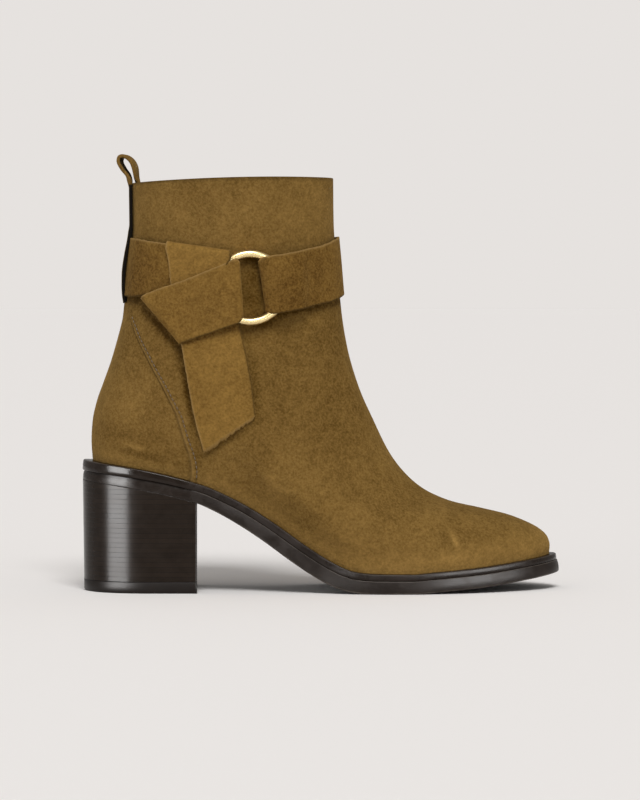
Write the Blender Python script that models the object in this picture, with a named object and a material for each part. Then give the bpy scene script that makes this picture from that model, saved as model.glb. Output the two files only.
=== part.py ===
"""Right-foot ankle boot in suede, on a stacked block heel, with a knotted strap and a ring.

Frame: +X to the toe, +Y to the inner side of the foot, +Z up, floor at z = 0. The tables
and sizes are in millimetres, and each mesh is made in metres.

The upper is one function. Its side view is a patch between four lines: the feather line
where it meets the sole, the collar, the back line and the front line. An angle runs round
the foot (0 back, 90 outer side, 180 front, 270 inner side) and a share runs from the
feather line (0) to the collar (1). Half-widths come from a table over both. The sole, the
strap and the back strip are all placed on that function.
"""

import bmesh
import bpy
import numpy as np

MM = 0.001
BOX_MIDDLE = (0.1, -0.75, 0.0)
GAP = 0.3
WALL = 2.2
SEAM_STEP = 0.8

SOLE_MARGIN = 4.0
SOLE_CHAMFER = 0.8
WELT_PROUD = 0.3
INSOLE_RISE = 2.5
INSOLE_INSET = 2.9
INSOLE_TOP_INSET = 4.2

HEEL_BREAST_X = -65.0
HEEL_TAPER = 1.0
TOP_PIECE = 6.0

STRAP_WIDTH = 30.0
STRAP_THICK = 1.2
STRIP_THICK = 1.2
STRIP_HALF_ANGLE = 11.5
STRIP_HALF_WIDTH = 7.0

RING_CENTRE_X = -37.2
RING_CENTRE_Z = 157.0
RING_RADIUS = 17.3
RING_WIRE = 1.85
RING_LIFT = 3.4
RING_TILT = -0.04

UPPER_ROWS = 22
SEAM_COLUMNS = 8
FRONT_COLUMNS = 23
SEAM_EDGE = np.radians(1.6)
SEAM_FOOT = np.radians(54.0)

# The sole from heel to toe: height of its tread above the floor and its two layers.
SOLE_COLUMNS = ("x", "tread", "outsole", "welt")
SOLE = (
    (-127.0, 58.0, 3.6, 6.8),
    (-95.0, 53.6, 3.9, 6.2),
    (-65.0, 46.4, 4.5, 5.2),
    (-56.7, 42.8, 4.6, 5.2),
    (-44.9, 36.5, 4.7, 5.3),
    (-33.2, 29.1, 4.7, 5.3),
    (-16.0, 16.6, 4.9, 5.4),
    (-0.5, 6.3, 5.3, 5.7),
    (7.2, 2.6, 5.5, 5.6),
    (17.0, 0.0, 5.6, 5.2),
    (46.0, 0.0, 5.6, 5.0),
    (56.0, 0.8, 5.5, 5.0),
    (84.0, 3.1, 5.3, 5.0),
    (104.0, 5.6, 5.1, 5.0),
    (128.0, 9.0, 4.8, 4.8),
)
FEATHER_BACK_X = -120.8
FEATHER_TOE_X = 121.0

# The back of the upper (x, z) from the feather line to the collar, then its front from the toe.
BACK_LINE = (
    (-120.2, 78.0),
    (-119.6, 88.0),
    (-117.3, 98.5),
    (-113.6, 108.6),
    (-109.8, 119.0),
    (-106.7, 129.6),
    (-104.0, 140.0),
    (-102.2, 149.0),
    (-100.0, 168.0),
    (-98.2, 188.0),
    (-98.4, 210.5),
)
FRONT_LINE = (
    (120.0, 22.0),
    (118.8, 26.4),
    (114.4, 30.8),
    (107.2, 34.7),
    (97.8, 38.4),
    (84.0, 41.8),
    (69.2, 45.0),
    (59.8, 48.6),
    (50.5, 54.3),
    (41.2, 63.5),
    (33.7, 74.8),
    (25.3, 92.4),
    (18.4, 108.8),
    (13.8, 125.0),
    (10.6, 144.0),
    (8.2, 170.0),
    (6.6, 190.0),
    (6.2, 213.2),
)
COLLAR_RISE = 1.2

# Half-width of the upper, round the foot (columns) and up it (rows).
AROUND = (0.03, 0.08, 0.15, 0.25, 0.36, 0.47, 0.58, 0.67, 0.75, 0.83, 0.90, 0.95, 0.98)
HALF_WIDTH = {
    0.00: (17.2, 24.4, 26.8, 27.0, 26.0, 28.6, 34.6, 38.0, 37.6, 33.6, 27.0, 19.8, 12.6),
    0.06: (17.9, 25.6, 28.8, 29.6, 29.3, 32.2, 37.0, 39.0, 38.1, 34.1, 27.5, 20.1, 13.0),
    0.15: (18.0, 26.2, 30.3, 31.7, 32.2, 34.8, 37.8, 38.4, 36.7, 32.8, 26.6, 19.4, 12.6),
    0.30: (17.0, 25.3, 30.8, 33.1, 34.5, 36.3, 37.2, 35.7, 33.0, 29.2, 23.5, 17.0, 11.0),
    0.50: (14.6, 23.0, 29.4, 33.5, 35.6, 36.2, 35.6, 33.6, 30.5, 26.0, 20.4, 14.6, 9.3),
    0.70: (12.8, 20.6, 27.2, 32.4, 35.0, 35.6, 34.8, 32.6, 29.6, 25.5, 20.2, 14.6, 9.3),
    1.00: (11.9, 19.0, 25.0, 30.3, 33.6, 34.9, 34.5, 32.9, 30.3, 26.3, 21.0, 15.3, 9.8),
}
# How far the foot's middle swings to the inner side, along the foot at the sole.
SWING_COLUMNS = ("along", "inward")
SWING = ((0.0, 0.0), (0.2, -0.4), (0.42, -1.8), (0.62, -0.4), (0.8, 2.4), (1.0, 6.0))

# The seam (x, z) between counter and front, from the sole up to the back, in side view.
SEAM = (
    (-69.2, 59.5),
    (-70.4, 73.5),
    (-75.4, 90.0),
    (-81.4, 103.0),
    (-90.4, 120.0),
    (-99.2, 140.0),
)
SEAM_FADE = 0.05

# The strap from the front round the inner side and back to the outer side.
BELT_COLUMNS = ("angle", "height", "lift")
BELT = (
    (148.0, 164.3, 1.2),
    (162.0, 166.6, 1.8),
    (180.0, 168.2, 1.8),
    (200.0, 168.0, 1.4),
    (270.0, 167.4, 1.0),
    (340.0, 167.4, 1.0),
    (360.0, 167.8, 1.0),
    (374.0, 167.4, 1.3),
    (384.0, 167.0, 2.2),
)
BELT_STEPS = 36
ACROSS = np.linspace(0.0, 1.0, 5)
FOLD_STEP = 6.0

# The folded ends of the strap in side view: its two edges, how far its middle stands off
# the upper, and how much more at half width.
FOLD_COLUMNS = ("top_x", "top_z", "low_x", "low_z", "lift", "crown")
RING_FOLD = (
    (-5.0, 177.4, -5.5, 146.9, 1.0, 0.0),
    (-18.0, 174.4, -16.0, 145.0, 1.0, 0.0),
    (-30.4, 171.2, -26.4, 144.4, 1.0, 0.6),
    (-34.2, 170.9, -30.6, 144.8, 3.7, 0.5),
    (-32.0, 172.8, -27.8, 143.6, 6.5, 0.6),
    (-23.0, 174.4, -21.0, 144.6, 6.9, 1.2),
    (-16.5, 175.6, -15.0, 145.8, 6.3, 1.3),
    (-9.0, 177.2, -8.4, 147.2, 3.4, 0.2),
    (-2.0, 178.6, -2.0, 148.8, 2.5, 0.0),
)
KNOT = (
    (-88.0, 180.9, -88.0, 153.0, 2.5, 0.0),
    (-76.0, 179.0, -76.0, 151.2, 2.5, 0.0),
    (-62.0, 176.0, -62.0, 148.0, 2.5, 0.0),
    (-52.0, 172.9, -52.0, 145.2, 2.3, 0.2),
    (-48.0, 169.4, -47.4, 144.2, 1.1, 1.1),
    (-42.8, 169.2, -41.6, 144.8, 4.5, 0.0),
    (-45.0, 173.9, -43.4, 139.0, 7.1, 0.7),
    (-54.0, 170.0, -50.4, 136.4, 7.2, 1.4),
    (-68.0, 163.8, -58.4, 133.4, 6.0, 0.3),
    (-82.0, 157.4, -66.4, 130.8, 5.5, 0.0),
    (-90.6, 153.0, -71.4, 129.0, 5.5, 0.0),
    (-93.8, 150.8, -74.2, 126.8, 3.2, 0.0),
    (-91.4, 154.6, -70.8, 131.8, 1.0, 0.0),
    (-86.2, 167.2, -60.4, 153.2, 1.0, 0.0),
    (-81.0, 178.6, -50.2, 173.6, 1.0, 0.0),
    (-80.2, 182.0, -49.2, 177.2, 2.5, 0.0),
    (-80.4, 178.4, -49.8, 173.6, 4.0, 0.0),
    (-79.2, 168.6, -55.4, 166.6, 4.0, 0.0),
    (-78.0, 158.6, -59.0, 157.0, 4.0, 0.0),
    (-75.4, 145.4, -56.4, 147.4, 4.0, 0.0),
    (-72.2, 129.4, -45.4, 135.2, 4.0, 0.0),
    (-68.4, 113.0, -40.6, 122.0, 2.8, 0.4),
    (-64.4, 94.0, -38.4, 107.0, 1.7, 0.4),
    (-59.6, 73.6, -36.2, 91.8, 1.0, 0.2),
)

# The back strip: over the strap and up to the collar, then the pull loop above it.
STRIP_COLUMNS = ("z", "lift")
STRIP = (
    (149.2, 1.0),
    (150.6, 1.2),
    (151.8, 2.5),
    (158.0, 3.0),
    (166.0, 3.4),
    (174.0, 3.3),
    (180.0, 2.8),
    (184.0, 2.5),
    (186.0, 1.2),
    (190.0, 1.0),
    (208.5, 1.0),
)
LOOP_COLUMNS = ("x", "z", "bow")
LOOP = (
    (-101.4, 213.2, 1.0),
    (-104.2, 217.6, 0.6),
    (-106.0, 221.6, 0.2),
    (-105.0, 225.0, 0.0),
    (-102.2, 225.9, 0.0),
    (-98.8, 224.2, 0.0),
    (-96.2, 220.2, 0.2),
    (-95.0, 215.6, 0.6),
    (-94.8, 211.0, 1.0),
)
# The loop's inner end, on the lining.
LOOP_TAIL = (
    (206.0, -3.3),
    (196.0, -3.3),
)


def column(table, names, name):
    return np.array([row[names.index(name)] for row in table], dtype=float)


def smooth(stations, values, at):
    """A curve through the rows of a table: cubics that never swing past a row's value."""
    stations = np.asarray(stations, dtype=float)
    values = np.asarray(values, dtype=float)
    step = np.diff(stations)
    rise = np.diff(values) / step
    slope = np.empty(len(values))
    slope[0] = rise[0]
    slope[-1] = rise[-1]
    same = rise[:-1] * rise[1:] > 0.0
    near = 2.0 * step[1:] + step[:-1]
    far = step[1:] + 2.0 * step[:-1]
    mean = (near + far) / (near / np.where(same, rise[:-1], 1.0) + far / np.where(same, rise[1:], 1.0))
    slope[1:-1] = np.where(same, mean, 0.0)
    at = np.clip(np.asarray(at, dtype=float), stations[0], stations[-1])
    k = np.clip(np.searchsorted(stations, at, side="right") - 1, 0, len(step) - 1)
    u = (at - stations[k]) / step[k]
    start = values[k] * (1.0 + 2.0 * u) + slope[k] * step[k] * u
    end = values[k + 1] * (3.0 - 2.0 * u) - slope[k + 1] * step[k] * (1.0 - u)
    return start * (1.0 - u) ** 2 + end * u**2


def sole_height(x, name):
    return smooth(column(SOLE, SOLE_COLUMNS, "x"), column(SOLE, SOLE_COLUMNS, name), x)


def sole_point(x, raised):
    """(x, z) of the sole's side view, raised square to the tread at that x."""
    tilt = (sole_height(x + 0.05, "tread") - sole_height(x - 0.05, "tread")) / 0.1
    length = np.sqrt(1.0 + tilt**2)
    return np.stack([x - raised * tilt / length, sole_height(x, "tread") + raised / length], axis=-1)


def sole_layers(x):
    """Heights above the tread of the top of the outsole and of the feather line."""
    outsole = sole_height(x, "outsole")
    return outsole, outsole + sole_height(x, "welt")


def tread_x(along):
    return FEATHER_BACK_X + along * (FEATHER_TOE_X - FEATHER_BACK_X)


def feather(along):
    x = tread_x(along)
    return sole_point(x, sole_layers(x)[1] + GAP)


def line(first, table, share):
    """(x, z) a share of the way along a line of the side view, by length."""
    points = np.vstack([first, np.array(table)])
    length = np.concatenate([[0.0], np.cumsum(np.hypot(*np.diff(points, axis=0).T))])
    at = np.asarray(share) * length[-1]
    return np.stack([smooth(length, points[:, 0], at), smooth(length, points[:, 1], at)], axis=-1)


def swing(along, share):
    inward = smooth(column(SWING, SWING_COLUMNS, "along"), column(SWING, SWING_COLUMNS, "inward"), along)
    return inward * (1.0 - np.asarray(share)) ** 1.5


def fullness(along, share):
    """Half-width of the upper over the round end of a circle, from the table's two ways."""
    stations = np.array(AROUND)
    end = 2.0 * np.sqrt(stations * (1.0 - stations))
    shares = np.array(sorted(HALF_WIDTH))
    along, share = np.broadcast_arrays(along, share)
    rows = np.stack([smooth(stations, np.array(HALF_WIDTH[row]) / end, along) for row in shares])
    k = np.clip(np.searchsorted(shares, share, side="right") - 1, 0, len(shares) - 2)
    slopes = np.gradient(rows, shares, axis=0)
    step = (shares[1:] - shares[:-1])[k]
    u = (share - shares[k]) / step

    def pick(values, index):
        return np.take_along_axis(values, index[None], axis=0)[0]

    start = pick(rows, k) * (1.0 + 2.0 * u) + pick(slopes, k) * step * u
    end_value = pick(rows, k + 1) * (3.0 - 2.0 * u) - pick(slopes, k + 1) * step * (1.0 - u)
    return start * (1.0 - u) ** 2 + end_value * u**2


def upper_point(angle, share):
    """The upper's face: the side view's patch, swung inward and rounded to its half-width."""
    angle, share = np.broadcast_arrays(np.asarray(angle, dtype=float), np.asarray(share, dtype=float))
    along = (1.0 - np.cos(angle)) / 2.0
    heel, toe = feather(np.array(0.0)), feather(np.array(1.0))
    back_top, front_top = np.array(BACK_LINE[-1]), np.array(FRONT_LINE[-1])
    s, v = along[..., None], share[..., None]
    collar = back_top * (1.0 - s) + front_top * s
    collar = collar + COLLAR_RISE * np.concatenate([np.zeros_like(s), 4.0 * s * (1.0 - s)], axis=-1)
    lower_upper = (1.0 - v) * feather(along) + v * collar
    back_front = (1.0 - s) * line(heel, BACK_LINE, share) + s * line(toe, FRONT_LINE, share)
    corners = (1.0 - v) * ((1.0 - s) * heel + s * toe) + v * ((1.0 - s) * back_top + s * front_top)
    side = lower_upper + back_front - corners
    y = swing(along, share) - fullness(along, share) * np.sin(angle)
    return np.stack([side[..., 0], y, side[..., 1]], axis=-1)


def unit(vectors):
    return vectors / np.linalg.norm(vectors, axis=-1, keepdims=True)


def upper_normal(angle, share):
    """The way out of the upper's face, from the cross of its two directions."""
    low, high = np.clip(share - 0.004, 0.0, 1.0), np.clip(share + 0.004, 0.0, 1.0)
    up = upper_point(angle, high) - upper_point(angle, low)
    around = upper_point(angle + 0.01, share) - upper_point(angle - 0.01, share)
    return unit(np.cross(around, up))


def on_upper(angle, share, lift):
    return upper_point(angle, share) + np.asarray(lift)[..., None] * upper_normal(angle, share)


def share_at_height(angle, z):
    """The share up the upper at which its face has this height, by halving."""
    angle, z = np.broadcast_arrays(np.asarray(angle, dtype=float), np.asarray(z, dtype=float))
    low, high = np.zeros(z.shape), np.ones(z.shape)
    for _ in range(22):
        middle = (low + high) / 2.0
        below = upper_point(angle, middle)[..., 2] < z
        low, high = np.where(below, middle, low), np.where(below, high, middle)
    return (low + high) / 2.0


def place_at_side(x, z):
    """(angle, share) of the outer side's face that shows at (x, z) in side view, by halving."""
    low, high = np.zeros(x.shape), np.full(x.shape, np.pi)
    for _ in range(22):
        middle = (low + high) / 2.0
        behind = upper_point(middle, share_at_height(middle, z))[..., 0] < x
        low, high = np.where(behind, middle, low), np.where(behind, high, middle)
    middle = (low + high) / 2.0
    return middle, share_at_height(middle, z)


def grid_faces(rows, columns, rows_closed=False, columns_closed=True):
    faces = []
    for row in range(rows if rows_closed else rows - 1):
        for k in range(columns if columns_closed else columns - 1):
            here, after = row * columns, (row + 1) % rows * columns
            beside = (k + 1) % columns
            faces.append((here + k, here + beside, after + beside, after + k))
    return faces


def make_material(name, colour, roughness, metallic=0.0):
    material = bpy.data.materials.new(name)
    material.use_nodes = True
    shader = material.node_tree.nodes["Principled BSDF"]
    shader.inputs["Base Color"].default_value = (*colour, 1.0)
    shader.inputs["Roughness"].default_value = roughness
    shader.inputs["Metallic"].default_value = metallic
    return material


def make_solid(name, points, faces, material, sharp_degrees=40.0):
    """One named object from points in millimetres about the boot's middle, faces outward."""
    mesh = bpy.data.meshes.new(name)
    points = (np.asarray(points).reshape(-1, 3) - BOX_MIDDLE) * MM
    mesh.from_pydata(points.tolist(), [], faces)
    shape = bmesh.new()
    shape.from_mesh(mesh)
    bmesh.ops.recalc_face_normals(shape, faces=shape.faces)
    shape.to_mesh(mesh)
    shape.free()
    mesh.shade_smooth()
    mesh.set_sharp_from_angle(angle=np.radians(sharp_degrees))
    mesh.materials.append(material)
    solid = bpy.data.objects.new(name, mesh)
    bpy.context.scene.collection.objects.link(solid)
    return solid


def seam_angles(shares):
    """The seam's angle at each share, easing back to mid-side above it, and its top's share."""
    path = np.array(SEAM)
    angles, stations = place_at_side(path[:, 0], path[:, 1])
    stations[0] = 0.0
    stations = np.append(stations, [0.8, 1.0])
    angles = np.append(angles, np.radians([30.0, 38.0]))
    return smooth(stations, angles, shares), stations[len(SEAM) - 1]


def upper_columns(seam):
    """Angles round the upper in one row, bunched so that two columns follow the seam."""
    behind = np.linspace(0.0, 1.0, SEAM_COLUMNS + 1) * seam
    ahead = seam + SEAM_EDGE + np.linspace(0.0, 1.0, FRONT_COLUMNS + 1) * (np.pi - seam - SEAM_EDGE)
    outer = np.concatenate([behind, ahead])
    return np.concatenate([outer, 2.0 * np.pi - outer[-2:0:-1]])


def build_upper(material):
    shares = np.linspace(0.0, 1.0, UPPER_ROWS) ** 1.3
    seam, seam_top = seam_angles(shares)
    angles = np.stack([upper_columns(angle) for angle in seam])
    count = angles.shape[1]
    share_grid = np.broadcast_to(shares[:, None], angles.shape)
    behind = np.zeros(count)
    behind[: SEAM_COLUMNS + 1] = 1.0
    behind[-SEAM_COLUMNS:] = 1.0
    fade = np.clip((seam_top - shares) / SEAM_FADE, 0.0, 1.0)
    face = on_upper(angles, share_grid, -SEAM_STEP * fade[:, None] * behind[None])
    inward = upper_normal(angles, share_grid)
    level = np.clip(1.0 - shares / 0.05, 0.0, 1.0)[:, None]
    inward[..., 2] *= 1.0 - level
    inward = unit(inward)
    inside = upper_point(angles, share_grid) - WALL * inward
    inside[0, :, 2] = upper_point(angles[0], 0.0)[:, 2]
    points = np.concatenate([face.reshape(-1, 3), inside.reshape(-1, 3)])
    half = UPPER_ROWS * count
    sheet = grid_faces(UPPER_ROWS, count)
    faces = sheet + [tuple(half + corner for corner in reversed(quad)) for quad in sheet]
    for start in (0, half - count):
        for k in range(count):
            beside = (k + 1) % count
            faces.append((start + k, start + beside, half + start + beside, half + start + k))
    return make_solid("upper", points, faces, material)


def outline(margin):
    """(x, y) round the sole seen from above, a margin outside the feather line."""
    angle = upper_columns(SEAM_FOOT)

    def base(at):
        along = (1.0 - np.cos(at)) / 2.0
        y = swing(along, 0.0) - fullness(along, np.zeros_like(along)) * np.sin(at)
        return np.stack([tread_x(along), y], axis=-1)

    forward = unit(base(angle + 0.01) - base(angle - 0.01))
    outward = np.stack([forward[:, 1], -forward[:, 0]], axis=-1)
    return base(angle) + margin * outward


def sole_loop(margin, raised):
    """A loop round the sole at a margin from the feather line, raised above the tread."""
    flat = outline(margin)
    side = sole_point(flat[:, 0], raised(flat[:, 0]))
    return np.stack([side[:, 0], flat[:, 1], side[:, 1]], axis=-1)


def ladder(count, start, flipped):
    """Faces that fill a loop from its outer side across to its inner side."""
    half = count // 2
    faces = []
    for k in range(half):
        left, left_after = start + k, start + k + 1
        right, right_after = start + (count - k) % count, start + count - k - 1
        quad = [left, left_after, right_after, right]
        corners = list(dict.fromkeys(quad))
        faces.append(tuple(reversed(corners)) if flipped else tuple(corners))
    return faces


def build_slab(name, loops, material):
    """A plate from loops stacked bottom to top, both ends filled across."""
    count = len(loops[0])
    faces = grid_faces(len(loops), count)
    faces += ladder(count, 0, True) + ladder(count, (len(loops) - 1) * count, False)
    return make_solid(name, np.stack(loops), faces, material)


def build_outsole(material):
    def at(height):
        return lambda x: np.full_like(x, height)

    top = lambda x: sole_layers(x)[0] - GAP
    loops = [
        sole_loop(SOLE_MARGIN - SOLE_CHAMFER, at(0.0)),
        sole_loop(SOLE_MARGIN, at(SOLE_CHAMFER)),
        sole_loop(SOLE_MARGIN, lambda x: top(x) - SOLE_CHAMFER),
        sole_loop(SOLE_MARGIN - SOLE_CHAMFER, top),
    ]
    return build_slab("outsole", loops, material)


def build_welt(material):
    edge = SOLE_MARGIN + WELT_PROUD
    low = lambda x: sole_layers(x)[0]
    high = lambda x: sole_layers(x)[1]
    section = (
        (-WALL, low),
        (edge - SOLE_CHAMFER, low),
        (edge, lambda x: low(x) + SOLE_CHAMFER),
        (edge, lambda x: high(x) - SOLE_CHAMFER),
        (edge - SOLE_CHAMFER, high),
        (-WALL, high),
    )
    loops = [sole_loop(margin, raised) for margin, raised in section]
    faces = grid_faces(len(loops), len(loops[0]), rows_closed=True)
    return make_solid("welt", np.stack(loops), faces, material)


def build_insole(material):
    loops = [
        sole_loop(-INSOLE_INSET, lambda x: sole_layers(x)[0]),
        sole_loop(-INSOLE_INSET, lambda x: sole_layers(x)[1]),
        sole_loop(-INSOLE_TOP_INSET, lambda x: sole_layers(x)[1] + INSOLE_RISE),
    ]
    return build_slab("insole", loops, material)


def heel_loop(inset, height):
    """A loop round the heel: the sole's outline behind the breast, closed straight across."""
    flat = outline(SOLE_MARGIN - SOLE_CHAMFER - inset)
    whole = np.column_stack([flat, height(flat[:, 0])])
    half = len(whole) // 2

    def behind(side):
        """One side from the back to the breast, its last stretch cut at the breast."""
        count = int(np.argmax(side[:, 0] > HEEL_BREAST_X))
        before, after = side[count - 1], side[count]
        share = (HEEL_BREAST_X - before[0]) / (after[0] - before[0])
        return np.vstack([side[:count], before + share * (after - before)])

    outer = behind(whole[: half + 1])
    inner = behind(np.vstack([whole[:1], whole[:half:-1]]))
    return np.vstack([outer, inner[:0:-1]])


def build_heel(block_material, top_piece_material):
    seat = lambda x: sole_height(x, "tread") - GAP
    at = lambda z: lambda x: np.full_like(x, z)
    block = [heel_loop(HEEL_TAPER, at(TOP_PIECE)), heel_loop(0.0, seat)]
    piece = [
        heel_loop(HEEL_TAPER + SOLE_CHAMFER, at(0.0)),
        heel_loop(HEEL_TAPER, at(SOLE_CHAMFER)),
        heel_loop(HEEL_TAPER, at(TOP_PIECE - GAP)),
    ]
    for name, loops, material in (
        ("heel_block", block, block_material),
        ("heel_top_piece", piece, top_piece_material),
    ):
        build_slab(name, loops, material)


def build_ribbon(name, middle, thickness, material):
    """A strip of even thickness about a grid of points (along it, across it)."""
    along = np.gradient(middle, axis=0)
    across = np.gradient(middle, axis=1)
    out = unit(np.cross(along, across)) * thickness / 2.0
    rows, wide = middle.shape[:2]
    section = np.concatenate([middle + out, (middle - out)[:, ::-1]], axis=1)
    faces = grid_faces(rows, 2 * wide)
    last = (rows - 1) * 2 * wide
    faces += [tuple(reversed(range(2 * wide))), tuple(range(last, last + 2 * wide))]
    return make_solid(name, section, faces, material)


def folded_rows(table):
    """Strap rows laid on the outer side, from its top edge to its low edge, with more rows
    between those of the table so that the strap follows the shaft."""
    rows = np.array(table)
    middle = (rows[:, 0:2] + rows[:, 2:4]) / 2.0
    steps = np.maximum(1, np.ceil(np.hypot(*np.diff(middle, axis=0).T) / FOLD_STEP)).astype(int)
    at = [k + np.arange(count) / count for k, count in enumerate(steps)]
    at = np.concatenate(at + [[len(rows) - 1.0]])
    fine = {}
    for k, name in enumerate(FOLD_COLUMNS):
        fine[name] = np.interp(at, np.arange(len(rows)), rows[:, k])[:, None]
    x = fine["top_x"] * (1.0 - ACROSS) + fine["low_x"] * ACROSS
    z = fine["top_z"] * (1.0 - ACROSS) + fine["low_z"] * ACROSS
    angle, share = place_at_side(x, z)
    return on_upper(angle, share, fine["lift"] + fine["crown"] * 4.0 * ACROSS * (1.0 - ACROSS))


def belt_rows():
    """Strap rows round the shaft, from the outer side's front edge round to its back edge."""
    angles = column(BELT, BELT_COLUMNS, "angle")
    at = np.linspace(angles[0], angles[-1], BELT_STEPS)
    height = smooth(angles, column(BELT, BELT_COLUMNS, "height"), at)
    lift = smooth(angles, column(BELT, BELT_COLUMNS, "lift"), at)
    angle = np.broadcast_to(np.radians(at)[:, None], (len(at), len(ACROSS)))
    share = share_at_height(angle, height[:, None] + (0.5 - ACROSS) * STRAP_WIDTH)
    return on_upper(angle, share, np.broadcast_to(lift[:, None], angle.shape))


def build_strap(material):
    middle = np.concatenate([folded_rows(RING_FOLD), belt_rows(), folded_rows(KNOT)])
    return build_ribbon("strap", middle, STRAP_THICK, material)


def build_ring(material):
    angle, share = place_at_side(np.array([RING_CENTRE_X]), np.array([RING_CENTRE_Z]))
    centre = on_upper(angle, share, np.array([RING_LIFT]))[0]
    out = upper_normal(angle, share)[0]
    up = unit(np.array([0.0, 0.0, 1.0]) - out[2] * out)
    ahead = np.cross(up, out)
    ahead = unit(ahead * np.sign(ahead[0]) - RING_TILT * out)
    out = np.cross(ahead, up)
    turns = np.linspace(0.0, 2.0 * np.pi, 36, endpoint=False)[:, None, None]
    wire = np.linspace(0.0, 2.0 * np.pi, 8, endpoint=False)[None, :, None]
    spoke = np.cos(turns) * ahead + np.sin(turns) * up
    points = centre + spoke * (RING_RADIUS + RING_WIRE * np.cos(wire)) + out * RING_WIRE * np.sin(wire)
    return make_solid("ring", points, grid_faces(36, 8, rows_closed=True), material)


def build_back_strip(material):
    """The keeper strip up the back, then the loop over the collar, down to the lining."""
    across = 1.0 - 2.0 * ACROSS
    heights = column(STRIP, STRIP_COLUMNS, "z")[:, None]
    lifts = column(STRIP, STRIP_COLUMNS, "lift")[:, None]
    tail_heights = column(LOOP_TAIL, STRIP_COLUMNS, "z")[:, None]
    tail_lifts = column(LOOP_TAIL, STRIP_COLUMNS, "lift")[:, None]

    def on_back(z, lift):
        angle = np.radians(STRIP_HALF_ANGLE) * np.broadcast_to(across, (len(z), len(across)))
        return on_upper(angle, share_at_height(angle, z), np.broadcast_to(lift, angle.shape))

    x, z, bow = (column(LOOP, LOOP_COLUMNS, name)[:, None] for name in LOOP_COLUMNS)
    y = np.broadcast_to(-across * STRIP_HALF_WIDTH, (len(LOOP), len(across)))
    over = np.stack([x + bow * across**2, y, np.broadcast_to(z, y.shape)], axis=-1)
    middle = np.concatenate([on_back(heights, lifts), over, on_back(tail_heights, tail_lifts)])
    return build_ribbon("back_strip", middle, STRIP_THICK, material)


def main():
    for old in list(bpy.data.objects):
        bpy.data.objects.remove(old)
    suede = make_material("olive suede", (0.17, 0.10, 0.03), 0.95)
    strap_suede = make_material("strap suede", (0.18, 0.10, 0.03), 0.95)
    dark_leather = make_material("dark leather edge", (0.028, 0.02, 0.015), 0.35)
    welt_leather = make_material("dark leather welt", (0.035, 0.025, 0.02), 0.4)
    stacked = make_material("stacked leather", (0.024, 0.017, 0.012), 0.25)
    rubber = make_material("dark rubber", (0.02, 0.016, 0.014), 0.6)
    tan = make_material("tan insole leather", (0.32, 0.2, 0.1), 0.6)
    gold = make_material("pale gold metal", (0.86, 0.72, 0.45), 0.18, metallic=1.0)
    black_backed = make_material("black backed suede", (0.05, 0.035, 0.02), 0.85)

    build_upper(suede)
    build_insole(tan)
    build_welt(welt_leather)
    build_outsole(dark_leather)
    build_heel(stacked, rubber)
    build_strap(strap_suede)
    build_ring(gold)
    build_back_strip(black_backed)


main()
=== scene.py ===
# %% [markdown]
# # A suede ankle boot on a stacked heel
#
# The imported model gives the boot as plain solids: an upper, a welted sole, a block heel, a
# knotted strap, a ring and a strip up the back. This lesson lays a finer surface over each of
# them. Every surface is a formula of two numbers, worked out for a whole grid at once, so a
# change of one size moves everything that stands on it.

import bpy
import numpy as np
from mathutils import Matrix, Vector


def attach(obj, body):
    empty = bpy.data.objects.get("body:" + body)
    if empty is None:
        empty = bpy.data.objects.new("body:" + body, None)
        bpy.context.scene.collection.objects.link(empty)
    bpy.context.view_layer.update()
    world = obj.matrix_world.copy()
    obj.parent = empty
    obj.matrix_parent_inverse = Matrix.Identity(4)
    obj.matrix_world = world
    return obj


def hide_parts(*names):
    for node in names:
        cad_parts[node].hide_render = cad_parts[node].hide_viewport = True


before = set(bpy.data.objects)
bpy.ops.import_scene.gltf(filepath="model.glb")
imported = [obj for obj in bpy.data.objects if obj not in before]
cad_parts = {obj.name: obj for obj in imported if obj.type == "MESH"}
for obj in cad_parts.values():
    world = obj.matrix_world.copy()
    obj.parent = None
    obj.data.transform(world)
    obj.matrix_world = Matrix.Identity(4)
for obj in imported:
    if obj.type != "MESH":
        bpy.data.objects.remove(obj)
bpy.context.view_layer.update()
MM = 0.001
BOX_MIDDLE = np.array((0.1, -0.75, 0.0))
print("solids:", ", ".join(sorted(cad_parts)))

# %% [markdown]
# ## Tables of the last and the sole
#
# A lofted boot could be dressed by shrink-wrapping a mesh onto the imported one, but that copies
# its flat facets. The last and the sole are short tables in millimetres, so the finer surfaces
# are worked out from the tables, and all of them read the same curves.

# %% Tables of the last and the sole
GAP = 0.3
WALL = 2.2
SOLE_MARGIN = 4.0
SOLE_COLUMNS = ("x", "tread", "outsole", "welt")
SOLE = np.array((
    (-127.0, 58.0, 5.0, 5.4), (-95.0, 53.6, 5.4, 4.7), (-65.0, 46.4, 5.8, 3.9), (-56.7, 42.7, 6.0, 3.9),
    (-44.9, 36.1, 6.5, 3.9), (-33.2, 28.5, 6.7, 3.9), (-16.0, 16.0, 7.0, 3.9), (-8.0, 10.6, 7.1, 3.9),
    (0.0, 5.9, 7.1, 3.9), (7.0, 2.8, 7.0, 3.8), (14.0, 0.95, 6.85, 3.7), (21.0, 0.2, 6.75, 3.6),
    (28.0, 0.0, 6.7, 3.5), (46.0, 0.0, 6.7, 3.4), (56.0, 0.8, 6.7, 3.4), (84.0, 3.1, 6.7, 3.4),
    (104.0, 5.6, 6.6, 3.4), (128.0, 9.0, 6.3, 3.3),
))
FEATHER_BACK_X = -120.8
FEATHER_TOE_X = 121.0
BACK_LINE = np.array((
    (-120.2, 78.0), (-119.6, 88.0), (-117.3, 98.5), (-113.6, 108.6), (-109.8, 119.0),
    (-106.7, 129.6), (-104.0, 140.0), (-102.2, 149.0), (-100.0, 168.0), (-98.2, 188.0),
    (-98.4, 210.5),
))
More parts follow.
